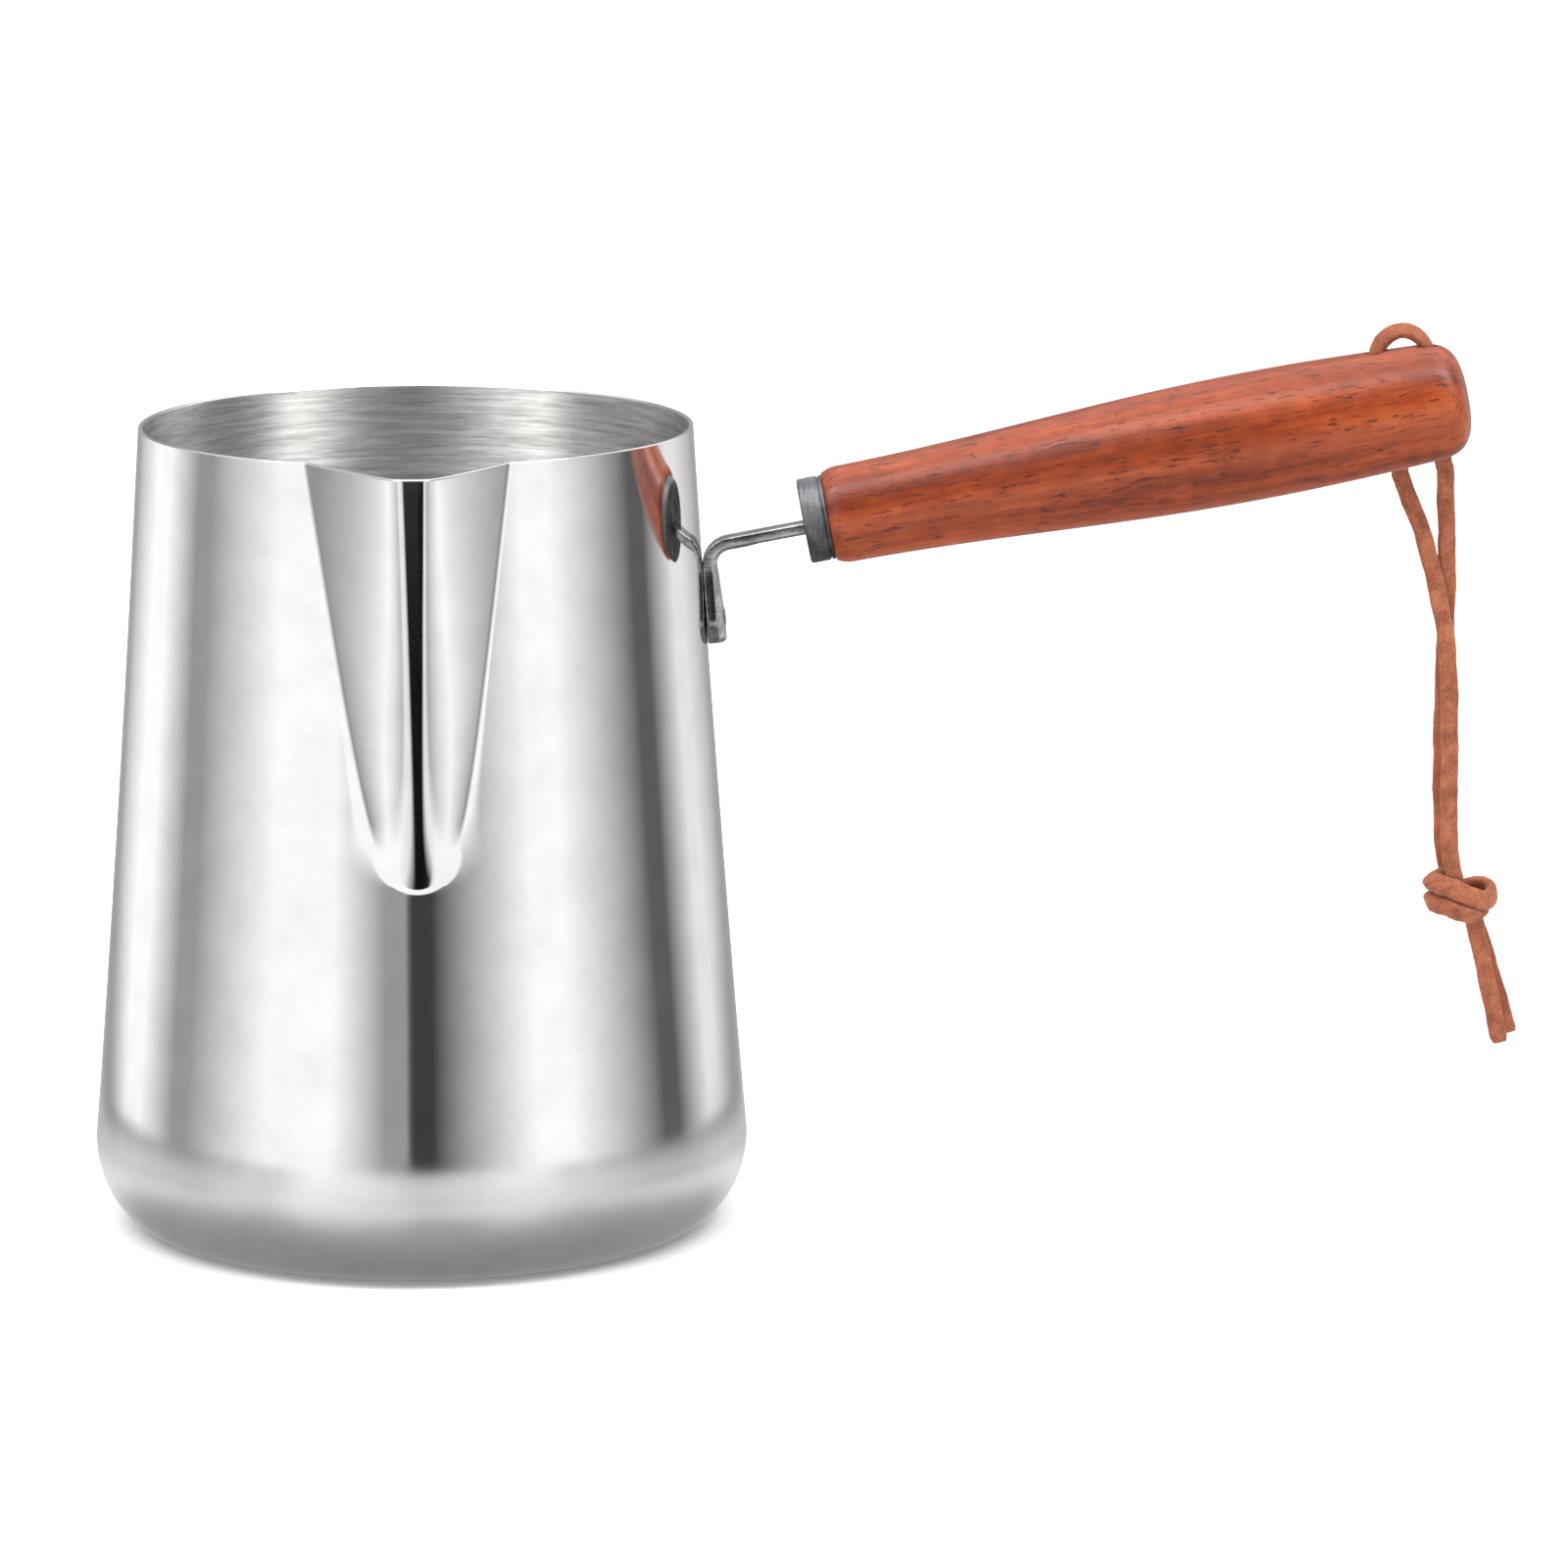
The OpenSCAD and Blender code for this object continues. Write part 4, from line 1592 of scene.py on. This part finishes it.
@dataclass
class WoodGrip:
    """The turned grip: a rounded nose, a long swell, a full round end and two cross holes."""

    handle: Handle
    length: float = 98.7
    radius: float = 7.4
    swell: float = 2.35
    swell_half: float = 66.0
    nose_r: float = 6.7
    nose_l: float = 2.4
    tip_start: float = 91.0
    hole_ease: float = 0.5
    sides: int = 112

    def belly(self, s: float) -> float:
        """Radius of the long swell."""
        return self.radius + self.swell * (1 - math.cos(math.pi * s / self.swell_half)) / 2

    def grip_r(self, s: float) -> float:
        """Radius of the grip.

        Args:
            s: distance from its front.

        Returns:
            The radius.
        """
        if s < self.nose_l:
            lift = self.belly(self.nose_l) - self.nose_r
            return self.nose_r + lift * math.sin(math.pi / 2 * s / self.nose_l)
        if s <= self.tip_start:
            return self.belly(s)
        u = min(1.0, (s - self.tip_start) / (self.length - self.tip_start))
        return self.belly(s) * (1 - u**4) ** (1 / 3)

    def build(self, wood: bpy.types.Material) -> bpy.types.Object:
        """Turns the grip, then drills both holes and eases their edges.

        Args:
            wood: the hardwood.

        Returns:
            The piece, which stands for the CAD grip.
        """
        profile = [(0.0, 0.0), (0.0, self.nose_r - 0.5), (0.06, self.nose_r - 0.15)]
        profile += [(s, self.grip_r(s)) for s in np.linspace(0.25, self.nose_l, 9)]
        profile += [(s, self.grip_r(s)) for s in np.linspace(self.nose_l, self.tip_start, 60)[1:]]
        reach = self.length - self.tip_start
        for a in np.linspace(0, math.pi / 2, 30)[1:-1]:
            s = self.tip_start + reach * math.sin(a)
            profile.append((s, self.grip_r(s)))
        profile.append((self.length, 0.0))
        piece = turn_on(self.handle.axis, profile, self.sides).to_object("wood_grip", [wood])
        for k in (0, 1):
            s = self.handle.hole_s + k * self.handle.hole_pitch
            cutter = self.drill(s)
            cut = piece.modifiers.new("hole", "BOOLEAN")
            cut.operation = "DIFFERENCE"
            cut.solver = "EXACT"
            cut.object = cutter
            settle(piece)
            bpy.data.objects.remove(cutter)
        settle(piece, 32.0)
        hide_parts("grip")
        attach(piece, POT_BODY)
        return piece

    def drill(self, s: float) -> bpy.types.Object:
        """The shape that one cross hole takes out, wider at both mouths.

        Args:
            s: distance of the hole from the grip's front.

        Returns:
            The cutting shape.
        """
        r, wide, edge = self.handle.hole_d / 2, self.hole_ease, self.belly(s)
        at = self.handle.axis.point(s, 0.0)
        axis = Axis((at[0], at[2]), self.handle.axis.tilt_deg + 90)
        half = [(edge + 3, r + 3 + wide), (edge - wide * 0.2, r + wide * 0.8)]
        half += [(edge - wide, r + wide * 0.25), (edge - wide * 1.8, r)]
        profile = [(-edge - 3, 0.0)] + [(-a, b) for a, b in half] + half[::-1] + [(edge + 3, 0.0)]
        return turn_on(axis, profile, 40).to_object("drill", [])


# ---------------------------------------------------------------------------
# Lace
# ---------------------------------------------------------------------------


class Side(Enum):
    """The two strands of the lace, by the hole each comes out of."""

    FRONT = "front"
    BACK = "back"


@dataclass
class SuedeLace:
    """The suede thong: a loop over the grip, two hanging strands, a knot and two cut ends."""

    handle: Handle
    thong: Thong = Thong()
    exit_r: float = 9.2
    hidden: float = 4.0
    pivot_drop: float = 10.9
    loop_low: float = 7.8
    loop_foot: float = 9.0
    strand_shift: float = 0.5
    knot_at: Point = (159.5, 0.0, 49.4)

    def hole(self, side: Side) -> float:
        """Place of a strand's hole along the grip."""
        return self.handle.hole_s + (self.handle.hole_pitch if side is Side.BACK else 0.0)

    def route(self, side: Side) -> list[Point]:
        """The listed points that a strand follows.

        Args:
            side: which strand.

        Returns:
            The points from its hole through the knot to its end.
        """
        at = self.handle.axis.point
        start = [at(self.hole(side), -r) for r in (self.exit_r - self.hidden, self.exit_r, self.pivot_drop)]
        if side is Side.FRONT:
            return start + [
                (150.6, -0.1, 110.4), (152.4, -0.2, 105.8), (153.7, -0.5, 101.2), (154.8, -0.9, 96.4),
                (155.9, -1.2, 91.4), (156.5, -1.35, 86.4), (156.8, -1.35, 81.0), (156.9, -1.35, 75.6),
                (157.0, -1.35, 70.2), (157.0, -1.35, 64.8), (157.1, -1.35, 59.4), (157.6, -1.35, 54.4),
                (158.6, -1.35, 50.4), (160.4, -1.35, 48.4), (161.4, -1.35, 44.4), (162.6, -1.35, 39.4),
                (163.7, -1.35, 34.4), (164.7, -1.35, 29.8), (165.4, -1.35, 26.6),
            ]
        return start + [
            (156.9, 0.1, 110.8), (157.1, 0.2, 106.0), (157.3, 0.5, 101.2), (157.4, 0.9, 96.4),
            (157.3, 1.2, 91.4), (157.2, 1.35, 86.4), (157.1, 1.35, 81.0), (157.0, 1.35, 75.6),
            (157.0, 1.35, 70.2), (157.1, 1.35, 64.8), (157.3, 1.35, 59.4), (157.9, 1.35, 54.4),
            (158.9, 1.35, 50.4), (161.6, 1.35, 48.4), (162.9, 1.35, 44.4), (164.5, 1.35, 39.4),
            (166.0, 1.35, 34.6), (167.3, 1.35, 30.2), (168.0, 1.35, 27.8),
        ]

    def hang_strand(self, side: Side, suede: bpy.types.Material) -> bpy.types.Object:
        """Makes one hanging strand with its cut end.

        Args:
            side: which strand.
            suede: its material.

        Returns:
            The strand.
        """
        route = self.route(side)
        curve = smooth_route(route, 4)
        shift = self.strand_shift if side is Side.FRONT else -self.strand_shift
        piece = self.thong.sweep(
            f"lace_{side.value}", curve, lambda i: (0.12 * math.sin(0.11 * i), -1.0, 0.0), suede, shift
        )
        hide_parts(f"lace_strand_{side.value}", f"lace_tail_{side.value}")
        at = self.handle.axis.point
        top, low = at(self.hole(side), -self.exit_r), at(self.hole(side), -self.pivot_drop - 4)
        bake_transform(piece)
        return piece

    def tie_knot(self, suede: bpy.types.Material) -> bpy.types.Object:
        """Makes the overhand knot: the thong wraps twice round the strands on a slant.

        Args:
            suede: the suede.

        Returns:
            The knot.
        """
        turns = [
            (-0.6, 1.9, 3.0), (-2.8, 1.2, 3.3), (-4.3, -0.6, 2.6), (-3.3, -2.3, 2.3), (-0.6, -3.0, 1.4),
            (2.2, -2.7, 0.1), (4.3, -1.4, -0.3), (4.9, 0.5, 0.6), (3.6, 2.1, 1.2), (0.8, 2.7, 0.5),
            (-2.2, 2.3, -0.4), (-4.2, 0.9, -0.9), (-4.2, -1.2, -0.8), (-2.2, -2.6, -1.2),
            (0.4, -2.8, -2.2), (2.5, -1.7, -2.7), (2.9, 0.2, -2.2), (1.2, 1.2, -1.6),
        ]
        curve = [
            tuple(a + b for a, b in zip(self.knot_at, p)) for p in smooth_route(turns, 6)
        ]

        def outward(i: int) -> Point:
            """Away from the knot's long middle line."""
            x, y, z = (a - b for a, b in zip(curve[i], self.knot_at))
            return (0.45 * x, y, z)

        knot = self.thong.sweep("lace_overhand_knot", curve, outward, suede, scale=1.12)
        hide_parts("lace_knot")
        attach(knot, LACE_BODY)
        return knot

    def lay_loop(self, suede: bpy.types.Material) -> bpy.types.Object:
        """Makes the loop that passes through both holes and over the grip, twisting as it goes.

        Args:
            suede: the suede.

        Returns:
            The loop.
        """
        front, back = self.hole(Side.FRONT), self.hole(Side.BACK)
        middle, r = (front + back) / 2, (back - front) / 2
        at = self.handle.axis.point
        curve = [at(front, q) for q in np.linspace(-self.loop_foot, self.loop_low, 14)[:-1]]
        curve += [
            at(middle + r * math.cos(a), self.loop_low + r * math.sin(a))
            for a in np.linspace(math.pi, 0, 17)
        ]
        curve += [at(back, q) for q in np.linspace(self.loop_low, -self.loop_foot + 0.6, 14)[1:]]
        last = len(curve) - 1

        def twist(i: int) -> Point:
            """The flat side turns from the front towards the loop's inside."""
            turn = math.radians(15 + 60 * i / last)
            place = Vector(curve[i]) - Vector(at(middle, self.loop_low))
            side = Vector((place.x, 0.0, place.z)).normalized()
            return tuple(side * math.sin(turn) + Vector((0.0, -math.cos(turn), 0.0)))

        loop = self.thong.sweep("lace_top_loop", curve, twist, suede, scale=0.92)
        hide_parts("lace_bight")
        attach(loop, POT_BODY)
        return loop


# ---------------------------------------------------------------------------


def main() -> None:
    """Builds the studio and every piece of the coffee pot in order."""
    logging.basicConfig(level=logging.INFO, format="%(name)s: %(message)s")
    studio = Studio()
    studio.place_camera()
    handle = Handle()
    suede = NappedSuede().build()
    lace = SuedeLace(handle)
    knot = lace.tie_knot(suede)
    lace_pieces = [knot] + [lace.hang_strand(side, suede) for side in Side]
    lace_pieces.append(lace.lay_loop(suede))
    pieces = list(lace_pieces)

    shape = WallShape()
    mirror, inside = MirrorPolishedSteel().build(), BrushedInsideSteel().build()
    pieces.append(PotShell(shape).build(mirror, inside))
    pieces.append(PouringSpout(shape).build(mirror, inside))

    strip = StripSteel("stainless_strip_tumbled", "#B4B4B1", "#77777A", 0.24).build()
    turned = StripSteel("stainless_turned_dull", "#8A8B8D", "#5C5D60", 0.6, 0.35, (1.0, 0.15, 0.15)).build()
    arm = HandleArm(shape, handle)
    pieces.append(arm.build(strip))
    pieces.append(ArmRivet(arm).build(strip))
    pieces.append(Ferrule(handle).build(turned))
    pieces.append(WoodGrip(handle).build(OiledHardwood().build(handle.axis.tilt_deg)))

    studio.light_room()
    for box in studio.softboxes:
        studio.hang_softbox(box)
    studio.lay_floor()
    for piece in lace_pieces:
        piece.visible_glossy = False
    for piece in pieces:
        LOG.info("%s has %d faces", piece.name, len(piece.data.polygons))


if __name__ == "__main__":
    main()
